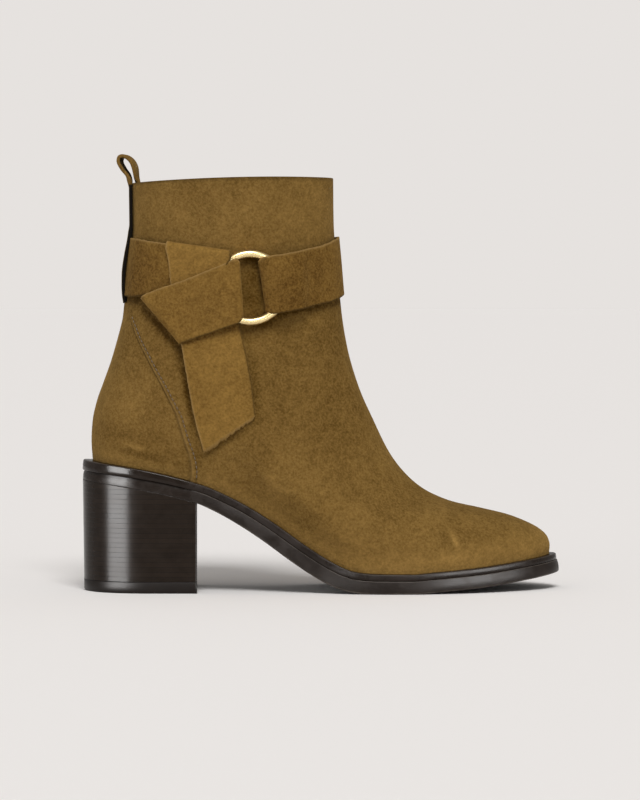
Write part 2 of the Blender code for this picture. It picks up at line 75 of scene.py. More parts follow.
FRONT_LINE = np.array((
    (120.0, 22.0), (118.8, 26.4), (114.4, 30.8), (107.2, 34.7), (97.8, 38.4), (84.0, 41.8),
    (69.2, 45.0), (59.8, 48.6), (50.5, 54.3), (41.2, 63.5), (33.7, 74.8), (25.3, 92.4),
    (18.4, 108.8), (13.8, 125.0), (10.6, 144.0), (8.2, 170.0), (6.6, 190.0), (6.2, 213.2),
))
COLLAR_RISE = 1.2
AROUND = np.array((0.03, 0.08, 0.15, 0.25, 0.36, 0.47, 0.58, 0.67, 0.75, 0.83, 0.90, 0.95, 0.98))
HALF_WIDTH = {
    0.00: (17.2, 24.4, 26.8, 27.0, 26.0, 28.6, 34.6, 38.0, 37.6, 33.6, 27.0, 19.8, 12.6),
    0.06: (17.9, 25.6, 28.8, 29.6, 29.3, 32.2, 37.0, 39.0, 38.1, 34.1, 27.5, 20.1, 13.0),
    0.15: (18.0, 26.2, 30.3, 31.7, 32.2, 34.8, 37.8, 38.4, 36.7, 32.8, 26.6, 19.4, 12.6),
    0.30: (17.0, 25.3, 30.8, 33.1, 34.5, 36.3, 37.2, 35.7, 33.0, 29.2, 23.5, 17.0, 11.0),
    0.50: (14.6, 23.0, 29.4, 33.5, 35.6, 36.2, 35.6, 33.6, 30.5, 26.0, 20.4, 14.6, 9.3),
    0.70: (12.8, 20.6, 27.2, 32.4, 35.0, 35.6, 34.8, 32.6, 29.6, 25.5, 20.2, 14.6, 9.3),
    1.00: (11.9, 19.0, 25.0, 30.3, 33.6, 34.9, 34.5, 32.9, 30.3, 26.3, 21.0, 15.3, 9.8),
}
SWING = np.array(((0.0, 0.0), (0.2, -0.4), (0.42, -1.8), (0.62, -0.4), (0.8, 2.4), (1.0, 6.0)))
print("sole rows:", len(SOLE), "width rows:", len(HALF_WIDTH))

# %% [markdown]
# ## One curve for every table
#
# A shoemaker's lines are fair: they bend one way at a time and never wobble between two marks.
# A plain cubic spline overshoots between uneven marks, so the tables are read with cubics whose
# slopes are held back wherever the rows turn.


# %% The fair curve
def cubic(u, step, first, last, first_slope, last_slope):
    """The cubic over one step, u from 0 to 1, that has these values and slopes at its ends."""
    start = first * (1.0 + 2.0 * u) + first_slope * step * u
    end = last * (3.0 - 2.0 * u) - last_slope * step * (1.0 - u)
    return start * (1.0 - u) ** 2 + end * u**2


def fair(stations, values, at):
    """Value at each place along a table: a cubic between two rows whose end slopes are the
    weighted harmonic mean of the neighbouring rises, and zero where the rises change sign."""
    stations = np.asarray(stations, dtype=float)
    values = np.asarray(values, dtype=float)
    spare = (1,) * (values.ndim - 1)
    step = np.diff(stations).reshape((-1,) + spare)
    rise = np.diff(values, axis=0) / step
    same = rise[:-1] * rise[1:] > 0.0
    near = 2.0 * step[1:] + step[:-1]
    far = step[1:] + 2.0 * step[:-1]
    mean = (near + far) / (near / np.where(same, rise[:-1], 1.0) + far / np.where(same, rise[1:], 1.0))
    slope = np.concatenate([rise[:1], np.where(same, mean, 0.0), rise[-1:]])
    at = np.clip(np.asarray(at, dtype=float), stations[0], stations[-1])
    k = np.clip(np.searchsorted(stations, at, side="right") - 1, 0, len(stations) - 2)
    u = ((at - stations[k]) / np.diff(stations)[k]).reshape(at.shape + spare)
    return cubic(u, step[k], values[k], values[k + 1], slope[k], slope[k + 1])


def bell(distance, width):
    """1 at no distance, falling as a bell to about a third at one width."""
    return np.exp(-((distance / width) ** 2))


def full_turn(count):
    """Angles at even steps round a circle."""
    return np.linspace(0.0, 2.0 * np.pi, count, endpoint=False)


def unit(vectors):
    """Each vector over its own length."""
    return vectors / np.linalg.norm(vectors, axis=-1, keepdims=True)


def lengths_along(points):
    """Distance along a line of points, from its first point to each."""
    return np.concatenate([[0.0], np.cumsum(np.linalg.norm(np.diff(points, axis=0), axis=1))])


print("half-way between 0 and 10:", float(fair((0, 1, 2), (0, 10, 10), 0.5)))

# %% [markdown]
# ## The sole's side view
#
# The sole is layers of even thickness bent along the last, so its heights are measured square
# to the tread and not straight up. The feather line, where the upper meets the welt, is the
# top of those layers.


# %% Sole heights and the feather line
TURN_REACH = 8.0


def sole_height(x, name):
    return fair(SOLE[:, 0], SOLE[:, SOLE_COLUMNS.index(name)], x)


def sole_point(x, raised):
    """(x, z) of the tread at x, moved by raised along the tread's own upright, which is taken
    over some length so that the layers turn gently at the ball."""
    rise = sole_height(x + TURN_REACH, "tread") - sole_height(x - TURN_REACH, "tread")
    tilt = rise / (2.0 * TURN_REACH)
    length = np.sqrt(1.0 + tilt**2)
    return np.stack([x - raised * tilt / length, sole_height(x, "tread") + raised / length], axis=-1)


def welt_low(x):
    return sole_height(x, "outsole")


def welt_high(x):
    return sole_height(x, "outsole") + sole_height(x, "welt")


def feather(along):
    x = FEATHER_BACK_X + along * (FEATHER_TOE_X - FEATHER_BACK_X)
    return sole_point(x, welt_high(x) + GAP)


print("feather line at the heel and toe:", feather(np.array((0.0, 1.0))).round(1).tolist())

# %% [markdown]
# ## The upper as one function
#
# The upper could be a subdivided cage, but a strap, a seam and a strip all have to lie on it.
# So it is a function of an angle round the foot (0 back, 90 outer side, 180 front) and a share
# from the feather line to the collar. The side view is a patch stretched between four lines,
# and the width comes from a table over both numbers.


# %% Surface of the upper
HALVINGS = 22


def side_line(first, table, share):
    """(x, z) a share of the way along a line of the side view, by length."""
    points = np.vstack([first, table])
    return fair(lengths_along(points), points, np.asarray(share) * lengths_along(points)[-1])


def swing(along, share):
    return fair(SWING[:, 0], SWING[:, 1], along) * (1.0 - np.asarray(share)) ** 1.5


def fullness(along, share):
    """Half-width over the round end of a circle: fair curves along the foot, cubics up it."""
    ends = 2.0 * np.sqrt(AROUND * (1.0 - AROUND))
    shares = np.array(sorted(HALF_WIDTH))
    along, share = np.broadcast_arrays(along, share)
    rows = np.stack([fair(AROUND, np.array(HALF_WIDTH[row]) / ends, along) for row in shares])
    slopes = np.gradient(rows, shares, axis=0)
    k = np.clip(np.searchsorted(shares, share, side="right") - 1, 0, len(shares) - 2)
    step = (shares[1:] - shares[:-1])[k]
    u = (share - shares[k]) / step

    def pick(values, index):
        return np.take_along_axis(values, index[None], axis=0)[0]

    return cubic(u, step, pick(rows, k), pick(rows, k + 1), pick(slopes, k), pick(slopes, k + 1))


def upper_point(angle, share):
    """Side view: the two long lines blended by share, plus the back and front blended by
    angle, less the corners counted twice. Width: swing, then fullness times the sine."""
    angle, share = np.broadcast_arrays(np.asarray(angle, dtype=float), np.asarray(share, dtype=float))
    along = (1.0 - np.cos(angle)) / 2.0
    heel, toe = feather(np.array(0.0)), feather(np.array(1.0))
    s, v = along[..., None], share[..., None]
    collar = BACK_LINE[-1] * (1.0 - s) + FRONT_LINE[-1] * s
    collar = collar + COLLAR_RISE * np.concatenate([np.zeros_like(s), 4.0 * s * (1.0 - s)], axis=-1)
    long_lines = (1.0 - v) * feather(along) + v * collar
    ends = (1.0 - s) * side_line(heel, BACK_LINE, share) + s * side_line(toe, FRONT_LINE, share)
    corners = (1.0 - v) * ((1.0 - s) * heel + s * toe)
    corners = corners + v * ((1.0 - s) * BACK_LINE[-1] + s * FRONT_LINE[-1])
    side = long_lines + ends - corners
    y = swing(along, share) - fullness(along, share) * np.sin(angle)
    return np.stack([side[..., 0], y, side[..., 1]], axis=-1)


def upper_normal(angle, share):
    """The way out of the upper: the cross of its two directions."""
    low, high = np.clip(share - 0.004, 0.0, 1.0), np.clip(share + 0.004, 0.0, 1.0)
    up = upper_point(angle, high) - upper_point(angle, low)
    around = upper_point(angle + 0.01, share) - upper_point(angle - 0.01, share)
    return unit(np.cross(around, up))


def on_upper(angle, share, lift):
    return upper_point(angle, share) + np.asarray(lift)[..., None] * upper_normal(angle, share)


def halved(start, end, falls_short):
    """The place where falls_short turns false, by halving the range between two arrays."""
    for _ in range(HALVINGS):
        middle = (start + end) / 2.0
        short = falls_short(middle)
        start, end = np.where(short, middle, start), np.where(short, end, middle)
    return (start + end) / 2.0


def share_at_height(angle, z):
    """The share at which the upper has this height."""
    angle, z = np.broadcast_arrays(np.asarray(angle, dtype=float), np.asarray(z, dtype=float))
    return halved(np.zeros(z.shape), np.ones(z.shape), lambda share: upper_point(angle, share)[..., 2] < z)


def place_at_side(x, z):
    """(angle, share) of the outer side's point that shows at (x, z) from the side."""

    def behind(angle):
        return upper_point(angle, share_at_height(angle, z))[..., 0] < x

    angle = halved(np.zeros(x.shape), np.full(x.shape, np.pi), behind)
    return angle, share_at_height(angle, z)


print("collar at the back and front:", upper_point(np.array((0.0, np.pi)), 1.0).round(1).tolist())

# %% [markdown]
# ## From grid to mesh
#
# All pieces are grids, so one helper turns an array of points into quads, and another puts
# them into a mesh. A closed surface has a volume with a sign: if it comes out negative, the
# faces point inward and are turned round. The place stays in the points, so each finished
# object sits at the origin.


# %% Grid helpers
def grid_quads(rows, columns, rows_closed=False, columns_closed=True):
    """Corner numbers of the quads between neighbouring points of a grid."""
    down = np.arange(rows if rows_closed else rows - 1)
    along = np.arange(columns if columns_closed else columns - 1)
    r, c = np.meshgrid(down, along, indexing="ij")
    below, beside = (r + 1) % rows, (c + 1) % columns
    corners = [r * columns + c, r * columns + beside, below * columns + beside, below * columns + c]
    return np.stack(corners, axis=-1).reshape(-1, 4)


def signed_volume(points, faces):
    """Sum over the faces, cut into fans, of the tetrahedra they make with the middle."""
    points = points - points.mean(axis=0)
    a, b, c, d = (points[faces[:, k]] for k in range(4))
    return float(np.sum(a * np.cross(b, c)) + np.sum(a * np.cross(c, d))) / 6.0


def add_piece(name, points, quads, material, slot=None, replaces=(), marks=None, caps=()):
    """One closed piece from points in millimetres, riding on the boot's one body."""
    points = np.asarray(points, dtype=float).reshape(-1, 3)
    turned = signed_volume(points, quads) < 0.0
    if turned:
        quads = quads[:, ::-1]
    faces = quads.tolist() + [tuple(reversed(cap)) if turned else tuple(cap) for cap in caps]
    mesh = bpy.data.meshes.new(name)
    mesh.from_pydata(((points - BOX_MIDDLE) * MM).tolist(), [], faces)
    for mark, values in (marks or {}).items():
        layer = mesh.attributes.new(mark, "FLOAT", "POINT")
        layer.data.foreach_set("value", np.asarray(values, dtype=np.float32).ravel())
    mesh.shade_smooth()
    mesh.materials.append(material)
    piece = bpy.data.objects.new(name, mesh)
    bpy.context.scene.collection.objects.link(piece)
    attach(piece, "root")
    if replaces:
        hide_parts(*replaces)
    print(f"{name}: {len(points)} points, {len(faces)} faces")


def add_grid(name, points, material, rows_closed=True, **kwargs):
    """One piece from a grid whose columns run round, and its rows too unless it has caps."""
    add_piece(name, points, grid_quads(*points.shape[:2], rows_closed), material, **kwargs)


print("a 3 by 4 tube has", len(grid_quads(3, 4)), "quads")

# %% [markdown]
# ## Camera, light and floor
#
# The boot is seen from its outer side by a long lens a little above the ankle, so the sole
# shows as a thin line. A bare white surround gives the even light of a studio tent. A soft sun
# from above adds the shade under the strap. Two panels show as reflections only: a tall one at
# the left draws the upright highlight down the heel, and one at the right lights the edge of
# the toe.

# %% Studio
EYE = (-0.0891, -2.0793, 0.1712)
AIM = (-0.0007, 0.0008, 0.0984)
scene = bpy.context.scene
scene.view_settings.view_transform = "Standard"
camera_data = bpy.data.cameras.new("camera")
camera_data.lens = 180.0
camera_data.sensor_width = 36.0
camera_data.clip_end = 50.0


def put(name, data, place, target):
    """A camera or lamp at a place, turned so that it looks at a point."""
    thing = bpy.data.objects.new(name, data)
    thing.location = place
    away = Vector(target) - thing.location
    thing.rotation_euler = away.to_track_quat("-Z", "Y").to_euler()
    scene.collection.objects.link(thing)
    return thing


camera = put("camera", camera_data, EYE, AIM)
scene.camera = camera

world = bpy.data.worlds.new("studio tent")
world.use_nodes = True
world_tree = world.node_tree
tent = world_tree.nodes["Background"]
tent.inputs["Color"].default_value = (1.0, 0.98, 0.96, 1.0)
tent.inputs["Strength"].default_value = 0.38
backdrop = world_tree.nodes.new("ShaderNodeBackground")
backdrop.inputs["Color"].default_value = (0.791, 0.761, 0.738, 1.0)
seen = world_tree.nodes.new("ShaderNodeLightPath")
either = world_tree.nodes.new("ShaderNodeMixShader")
world_tree.links.new(seen.outputs["Is Camera Ray"], either.inputs["Fac"])
world_tree.links.new(tent.outputs["Background"], either.inputs[1])
world_tree.links.new(backdrop.outputs["Background"], either.inputs[2])
world_tree.links.new(either.outputs["Shader"], world_tree.nodes["World Output"].inputs["Surface"])
scene.world = world

sun_data = bpy.data.lights.new("soft sun", "SUN")
sun_data.energy = 2.1
sun_data.angle = np.radians(24.0)
put("soft sun", sun_data, (0.1, -1.15, 1.5), (0.0, 0.0, 0.0))

# name, place, width, height, watts
PANELS = (
    ("tall panel left", (-1.6, -1.3, 0.3), 1.2, 2.2, 215.0),
    ("panel right", (1.35, -1.5, 0.4), 1.5, 1.2, 75.0),
)
for panel_name, place, wide, high, watts in PANELS:
    panel_data = bpy.data.lights.new(panel_name, "AREA")
    panel_data.shape = "RECTANGLE"
    panel_data.size = wide
    panel_data.size_y = high
    panel_data.energy = watts
    panel = put(panel_name, panel_data, place, (0.0, 0.0, 0.1))
    panel.visible_diffuse = False
print("panels:", len(PANELS))

# %% Floor
FLOOR_RADIUS = 12.0
FLOOR_SIDES = 64


def new_material(name):
    """A material, its node list and its one Principled shader."""
    material = bpy.data.materials.new(name)
    material.use_nodes = True
    tree = material.node_tree
    return material, tree, tree.nodes["Principled BSDF"]


paper, _, paper_shader = new_material("pale paper floor")
paper_shader.inputs["Base Color"].default_value = (0.89, 0.863, 0.844, 1.0)
paper_shader.inputs["Roughness"].default_value = 0.9
paper_shader.inputs["Specular IOR Level"].default_value = 0.1
turn = full_turn(FLOOR_SIDES)
floor_points = np.stack([np.cos(turn), np.sin(turn), 0.0 * turn], axis=-1) * FLOOR_RADIUS
floor_mesh = bpy.data.meshes.new("floor")
floor_mesh.from_pydata(floor_points.tolist(), [], [tuple(range(FLOOR_SIDES))])
floor_mesh.materials.append(paper)
floor = bpy.data.objects.new("floor", floor_mesh)
scene.collection.objects.link(floor)
print("floor radius:", FLOOR_RADIUS, "m")

# %% [markdown]
# ## Finishes that several pieces share
#
# Suede is the flesh side of a hide, sanded until its fibres stand up. Where the nap lies one
# way it looks pale and where it lies the other way it looks dark, so the colour drifts in soft
# clouds with a fine grain on top. A picture of suede would stretch over the boot; noise read in
# the boot's own coordinates does not. The nap is used on the upper, the strap and the back
# strip, so it is a node group. The smooth leather of the sole, heel and lining has another.


# %% Node helpers
def new_group(name, inputs, outputs):
    """An empty shader group with named sockets, and its two end nodes."""
    group = bpy.data.node_groups.new(name, "ShaderNodeTree")
    for label, kind, value in inputs:
        socket = group.interface.new_socket(label, in_out="INPUT", socket_type=kind)
        socket.default_value = value
    for label, kind in outputs:
        group.interface.new_socket(label, in_out="OUTPUT", socket_type=kind)
    return group, group.nodes.new("NodeGroupInput"), group.nodes.new("NodeGroupOutput")


def feed(tree, node, values):
    """Gives each named or numbered input of a node its number, its colour or another socket."""
    for label, value in values.items():
        socket = node.inputs[label]
        if isinstance(value, (int, float)):
            socket.default_value = value
        elif isinstance(value, tuple):
            socket.default_value = (*value, 1.0)
        else:
            tree.links.new(value, socket)


def own_place(tree):
    """The place on the piece in the boot's own coordinates."""
    return tree.nodes.new("ShaderNodeTexCoord").outputs["Object"]


def noise(tree, size_mm, detail=2.0, roughness=0.5, distortion=0.0):
    """A noise in the boot's own coordinates whose blots are about size_mm across."""
    node = tree.nodes.new("ShaderNodeTexNoise")
    feed(tree, node, {"Vector": own_place(tree), "Scale": 1.0 / (size_mm * MM), "Detail": detail})
    feed(tree, node, {"Roughness": roughness, "Distortion": distortion})
    return node.outputs["Fac"]


def math_node(tree, kind, first, second=0.0, third=0.0):
    """One sum of sockets or numbers."""
    node = tree.nodes.new("ShaderNodeMath")
    node.operation = kind
    feed(tree, node, {0: first, 1: second, 2: third})
    return node.outputs["Value"]


def spread(tree, value, low, high, to_low=0.0, to_high=1.0):
    """A value stretched from one range to another, and kept inside it."""
    node = tree.nodes.new("ShaderNodeMapRange")
    node.interpolation_type = "SMOOTHSTEP"
    feed(tree, node, {"Value": value, "From Min": low, "From Max": high, "To Min": to_low, "To Max": to_high})
    return node.outputs["Result"]


def mix_colour(tree, factor, first, second):
    """Two colours, each a socket or a plain colour, mixed by a factor."""
    node = tree.nodes.new("ShaderNodeMix")
    node.data_type = "RGBA"
    feed(tree, node, {0: factor, 6: first, 7: second})
    return node.outputs[2]


def mark(tree, name):
    """The piece's own attribute of that name, as a value."""
    node = tree.nodes.new("ShaderNodeAttribute")
    node.attribute_name = name
    return node.outputs["Fac"]


def place_group(tree, group, **values):
    """A shared group placed in a material, with sockets, numbers or colours for its inputs."""
    node = tree.nodes.new("ShaderNodeGroup")
    node.node_tree = group
    feed(tree, node, values)
    return node.outputs


def bump_to(tree, shader, height, strength, depth_mm, normal=None):
    """Fine relief: a height in the shader's Normal, on the mesh's normal or a given one."""
    node = tree.nodes.new("ShaderNodeBump")
    feed(tree, node, {"Height": height, "Strength": strength, "Distance": depth_mm * MM})
    if normal is not None:
        tree.links.new(normal, node.inputs["Normal"])
    tree.links.new(node.outputs["Normal"], shader.inputs["Normal"])


print("node helpers ready")

# %% Suede nap group
COLOUR, VALUE, VECTOR = "NodeSocketColor", "NodeSocketFloat", "NodeSocketVector"
CLOUD_SHARE = 0.28
MOTTLE_SHARE = 0.38
FIBRE_SHARE = 0.62
TONE_SCALE = 0.526
TONE_BASE = 0.158
suede_nap, nap_in, nap_out = new_group(
    "suede nap",
    (
        ("Dark", COLOUR, (0.12, 0.065, 0.016, 1.0)),
        ("Light", COLOUR, (0.23, 0.135, 0.04, 1.0)),
        ("Lay", VALUE, 0.0),
    ),
    (("Colour", COLOUR), ("Height", VALUE)),
)
nap_clouds = spread(suede_nap, noise(suede_nap, 32.0, 3.0, 0.5, 0.4), 0.3, 0.7)
nap_mottle = spread(suede_nap, noise(suede_nap, 4.0, 5.0, 0.6, 0.3), 0.25, 0.75)
nap_fibre = spread(suede_nap, noise(suede_nap, 1.2, 3.0, 0.65), 0.28, 0.72)
nap_tone = math_node(suede_nap, "MULTIPLY_ADD", nap_clouds, CLOUD_SHARE, -CLOUD_SHARE / 2.0)
nap_tone = math_node(suede_nap, "MULTIPLY_ADD", nap_mottle, MOTTLE_SHARE, nap_tone)
nap_tone = math_node(suede_nap, "MULTIPLY_ADD", nap_fibre, FIBRE_SHARE, nap_tone)
# the lay carries the nap's brushed marks and also painted shade and painted light
nap_tone = math_node(suede_nap, "ADD", nap_tone, nap_in.outputs["Lay"])
nap_tone = math_node(suede_nap, "MULTIPLY_ADD", nap_tone, TONE_SCALE, TONE_BASE)
nap_colour = mix_colour(suede_nap, nap_tone, nap_in.outputs["Dark"], nap_in.outputs["Light"])
nap_height = math_node(suede_nap, "MULTIPLY_ADD", nap_mottle, 0.5, nap_fibre)
feed(suede_nap, nap_out, {"Colour": nap_colour, "Height": nap_height})
print("group:", suede_nap.name)

# %% Leather grain group
GRAIN_CELL = 0.8
BLOTCH_SHARE = 0.7
leather_grain, grain_in, grain_out = new_group(
    "leather grain",
    (("Dark", COLOUR, (0.02, 0.014, 0.01, 1.0)), ("Light", COLOUR, (0.04, 0.028, 0.02, 1.0))),
    (("Colour", COLOUR), ("Height", VALUE), ("Blotch", VALUE)),
)
grain_blotch = spread(leather_grain, noise(leather_grain, 9.0, 4.0, 0.6, 0.5), 0.3, 0.7)
grain_pore = noise(leather_grain, 0.6, 3.0, 0.6)
grain_cells = leather_grain.nodes.new("ShaderNodeTexVoronoi")
feed(leather_grain, grain_cells, {"Vector": own_place(leather_grain), "Scale": 1.0 / (GRAIN_CELL * MM)})
grain_height = math_node(leather_grain, "ADD", grain_pore, grain_cells.outputs["Distance"])
grain_tone = math_node(leather_grain, "MULTIPLY", grain_blotch, BLOTCH_SHARE)
grain_tone = math_node(leather_grain, "MULTIPLY_ADD", grain_pore, 1.0 - BLOTCH_SHARE, grain_tone)
grain_colour = mix_colour(leather_grain, grain_tone, grain_in.outputs["Dark"], grain_in.outputs["Light"])
feed(leather_grain, grain_out, {"Colour": grain_colour, "Height": grain_height, "Blotch": grain_blotch})
print("group:", leather_grain.name)

# %% [markdown]
# ## The suede upper
#
# The hide is about 1.2 mm thick, with a lining behind it. Two cut pieces show: the counter round the heel and
# the front, whose raw edge laps over it along a curved seam with one row of stitches. A flat texture of a
# seam would vanish from other sides, so the lap is a real step: the grid's columns bunch along the seam, the
# counter lies 0.65 mm lower, and the stitch row sinks in a shallow groove. The few soft hollows of a boot
# that has been tried on are placed one by one.

# %% Seam line and soft hollows
SEAM = np.array((
    (-69.2, 59.5), (-70.4, 73.5), (-75.4, 90.0), (-81.4, 103.0), (-90.4, 120.0), (-97.6, 136.0),
    (-99.9, 147.5),
))
SEAM_EDGE = np.radians(0.7)
SEAM_STEP = 0.65
SEAM_FADE = 0.05
STITCH_INSET = 2.3
# from x, from z, to x, to z, depth, width
HOLLOWS = (
    (20.0, 96.0, -30.0, 72.0, 0.55, 9.0),
    (34.0, 70.0, -4.0, 46.0, 0.45, 8.0),
    (-96.0, 128.0, -62.0, 118.0, 0.35, 7.0),
    (-58.0, 66.0, -26.0, 44.0, 0.3, 7.0),
    (52.0, 48.0, 36.0, 26.0, 0.25, 6.0),
    (-20.0, 196.0, -16.0, 132.0, 0.25, 9.0),
)


def seam_angles(shares):
    """The seam's angle at each share, easing forward above its top, and its top's share."""
    angles, stations = place_at_side(SEAM[:, 0], SEAM[:, 1])
    stations[0] = 0.0
    top = stations[-1]
    stations = np.append(stations, [0.8, 1.0])
    angles = np.append(angles, np.radians([30.0, 38.0]))
    return fair(stations, angles, shares), top


def hollow_depth(x, z):
    """Sum over the hollows of depth times a bell of the distance to its line."""
    depth = np.zeros(x.shape)
    for from_x, from_z, to_x, to_z, deep, wide in HOLLOWS:
        run = np.array((to_x - from_x, to_z - from_z))
        share = ((x - from_x) * run[0] + (z - from_z) * run[1]) / (run @ run)
        share = np.clip(share, 0.0, 1.0)
        away = np.hypot(x - from_x - share * run[0], z - from_z - share * run[1])
        fade = np.sin(np.pi * np.clip(share, 0.08, 0.92)) ** 0.5
        depth += deep * fade * bell(away, wide)
    return depth


print("seam:", len(SEAM), "points; hollows:", len(HOLLOWS))

# %% Suede surface
OUTER_ROWS = 150
SUEDE_THICK = 1.2
BEHIND = np.concatenate([np.linspace(0.0, 0.85, 40)[:-1], np.linspace(0.85, 1.0, 14)])
AHEAD = np.concatenate([np.linspace(0.0, 0.07, 24)[:-1], np.linspace(0.07, 1.0, 118)])
LAP = np.array((0.25, 0.5, 0.75))
LIP_HEIGHT = 0.12
ROW_DEPTH = 0.16
ROW_SHADE = 0.6
WAVE_HEIGHT = 0.1


def columns_round(seam):
    """Angles round one row: close together at the seam, mirrored to the inner side."""
    edge = seam + SEAM_EDGE
    outer = np.concatenate([BEHIND * seam, seam + LAP * SEAM_EDGE, edge + AHEAD * (np.pi - edge)])
    return np.concatenate([outer, 2.0 * np.pi - outer[-2:0:-1]])


def suede_rows():
    """Outer face from the feather line to the collar: the upper, plus a lip along the cut edge of the lap,
    less the lap's step, the stitch row's groove and the hollows, plus a slight wave. Beside the points: where
    the cut edge is pale with a painted highlight, and where painted shade darkens the foot of the step and
    the stitch groove."""
    shares = np.linspace(0.0, 1.0, OUTER_ROWS) ** 1.15
    seam, top = seam_angles(shares)
    angles = np.stack([columns_round(angle) for angle in seam])
    share = np.broadcast_to(shares[:, None], angles.shape)
    face = upper_point(angles, share)
    out = upper_normal(angles, share)
    from_back = np.minimum(angles, 2.0 * np.pi - angles)
    edge = (seam + SEAM_EDGE)[:, None]
    past = np.clip((from_back - seam[:, None]) / SEAM_EDGE, 0.0, 1.0)
    step = np.gradient(angles, axis=1)
    reach = np.linalg.norm(np.gradient(face, axis=1), axis=-1) / np.abs(step)
    ahead = (from_back - edge) * reach
    fade = np.clip((top - shares) / SEAM_FADE, 0.0, 1.0)[:, None]
    over = np.clip(ahead, 0.0, None)
    from_row = ahead - STITCH_INSET
    lift = fade * (LIP_HEIGHT * past * bell(over, 0.9) - SEAM_STEP * (1.0 - past))
    lift = lift - fade * ROW_DEPTH * bell(from_row, 0.45)
    lift = lift - hollow_depth(face[..., 0], face[..., 2])
    lift = lift + WAVE_HEIGHT * np.sin(face[..., 0] / 9.0 + 1.3 * np.sin(face[..., 2] / 17.0))
    # the lap's cut edge: paler cut fibre with a painted highlight
    raw_and_highlight = fade * past * bell(over, 0.55)
    # painted shade: darker at the foot of the lap's step and along the stitch groove
    painted_shade = fade * ((1.0 - past) * bell(ahead, 1.3) + ROW_SHADE * bell(from_row, 0.5))
    return angles, shares, face + lift[..., None] * out, raw_and_highlight, painted_shade


suede_angles, suede_shares, suede_face, seam_raw_highlight, seam_painted_shade = suede_rows()
print("suede face:", suede_face.shape)

# %% Rim and back of the suede
RIM = np.linspace(0.0, np.pi, 9)[1:-1]
FEATHER_TUCK = 0.45
BACK_ROWS = 60


def suede_shell(angles, face):
    """The outer face, then a half-round rim, then a plain back face to the bottom."""
    collar_out = upper_normal(angles[-1], np.ones(angles.shape[1]))
    half = SUEDE_THICK / 2.0
    turn = RIM[:, None, None]
    upright = np.array((0.0, 0.0, 1.0))
    rim = face[-1] + half * (collar_out * (np.cos(turn) - 1.0) + upright * np.sin(turn))
    back_shares = np.linspace(1.0, 0.0, BACK_ROWS)[:, None]
    back_angles = angles[-1] * back_shares + angles[0] * (1.0 - back_shares)
    back_shares = np.broadcast_to(back_shares, back_angles.shape)
    back = on_upper(back_angles, back_shares, np.full(back_angles.shape, -SUEDE_THICK))
    tuck = FEATHER_TUCK * upright
    return np.concatenate([face[:1] - tuck, face, rim, back, back[-1:] - tuck])


suede_points = suede_shell(suede_angles, suede_face)
print("suede shell:", suede_points.shape)

# %% [markdown]
# ## Suede finish
#
# Suede has no shine, only a pale bloom where its fibres are seen from the side, which is what the shader's
# sheen gives. The nap group gives the clouds and the grain. In streaks and patches the nap is brushed paler
# or darker. Along the feather line the suede is painted paler, which is painted light against the shade of
# the welt. Under the edges of the strap and the ring's arcs, in the ring's hole and beside and under the tail
# it is painted darker, which is painted shade. These soft marks are listed one by one, kept as an attribute
# of the mesh, and added to the nap's lay.

# %% Marks of brushing and painted shade
# x, z, length, width, lean in degrees, tone
BRUSH_AND_SHADE_MARKS = (
    (67.5, 26.7, 4.5, 1.2, -63.0, 1.1),
    (67.5, 18.5, 7.0, 2.6, 5.0, 0.4),
    (117.0, 28.0, 7.0, 2.0, -50.0, 0.25),
    (-27.0, 58.0, 8.0, 2.6, -56.0, 0.35),
    (70.0, 20.0, 22.0, 7.0, 5.0, 0.1),
    (108.0, 27.0, 16.0, 8.0, -10.0, 0.05),
    (20.0, 28.0, 26.0, 9.0, -22.0, 0.12),
    (-28.0, 50.0, 24.0, 9.0, -38.0, 0.14),
    (-97.0, 75.5, 6.0, 1.3, -16.0, 0.7),
    (-95.0, 71.5, 9.0, 2.0, -14.0, -0.3),
    (-104.0, 70.0, 16.0, 2.2, -14.0, 0.2),
    (-104.0, 82.0, 12.0, 5.0, -6.0, -0.16),
    (-80.0, 68.0, 14.0, 5.0, -14.0, -0.12),
    (-100.0, 104.0, 14.0, 22.0, 10.0, 0.16),
    (8.0, 134.0, 14.0, 40.0, 0.0, -0.2),
    (-22.0, 118.0, 14.0, 24.0, 0.0, -0.14),
    (22.0, 90.0, 12.0, 24.0, -30.0, -0.14),
    (-40.0, 196.0, 50.0, 13.0, 0.0, 0.2),
    (-2.0, 200.0, 5.0, 16.0, 0.0, 0.08),
    (-30.0, 66.0, 9.0, 20.0, 30.0, -0.08),
    # from here on the marks are painted shade: in the ring's hole, under the strap's lower edges and the
    # ring's arcs, beside and under the tail, under the knot
    (-36.0, 158.0, 8.0, 14.0, 0.0, -0.42),
    (-10.0, 146.2, 22.0, 1.7, 10.7, -0.95),
    (-31.0, 138.2, 8.0, 1.8, 17.0, -0.8),
    (-36.5, 171.6, 5.0, 2.0, 0.0, -0.6),
    (-69.6, 100.0, 28.0, 1.9, -80.0, -0.7),
    (-36.4, 112.0, 24.0, 3.0, -82.0, -0.3),
    (-84.8, 138.1, 18.0, 2.2, -48.5, -0.8),
    (-98.0, 151.0, 7.0, 1.8, 0.0, -0.6),
    (-49.0, 79.0, 16.0, 1.7, 32.0, -0.45),
)
OLIVE = ((0.0604, 0.0284, 0.0022), (0.3112, 0.1842, 0.0516))
# colour of the cut edges: paler cut fibre and a painted highlight
RAW_EDGE_HIGHLIGHT = (0.33, 0.21, 0.08)
# colour of painted shade in the seam's recesses, on the collar's rim and along the strap's lower edges
PAINTED_SHADE_COLOUR = (0.022, 0.013, 0.004)
SHEEN_TINT = (0.7, 0.47, 0.17)
RAW_HIGHLIGHT_SHARE = 0.25
SEAM_SHADE_SHARE = 0.65
RIM_SHADE = 0.455
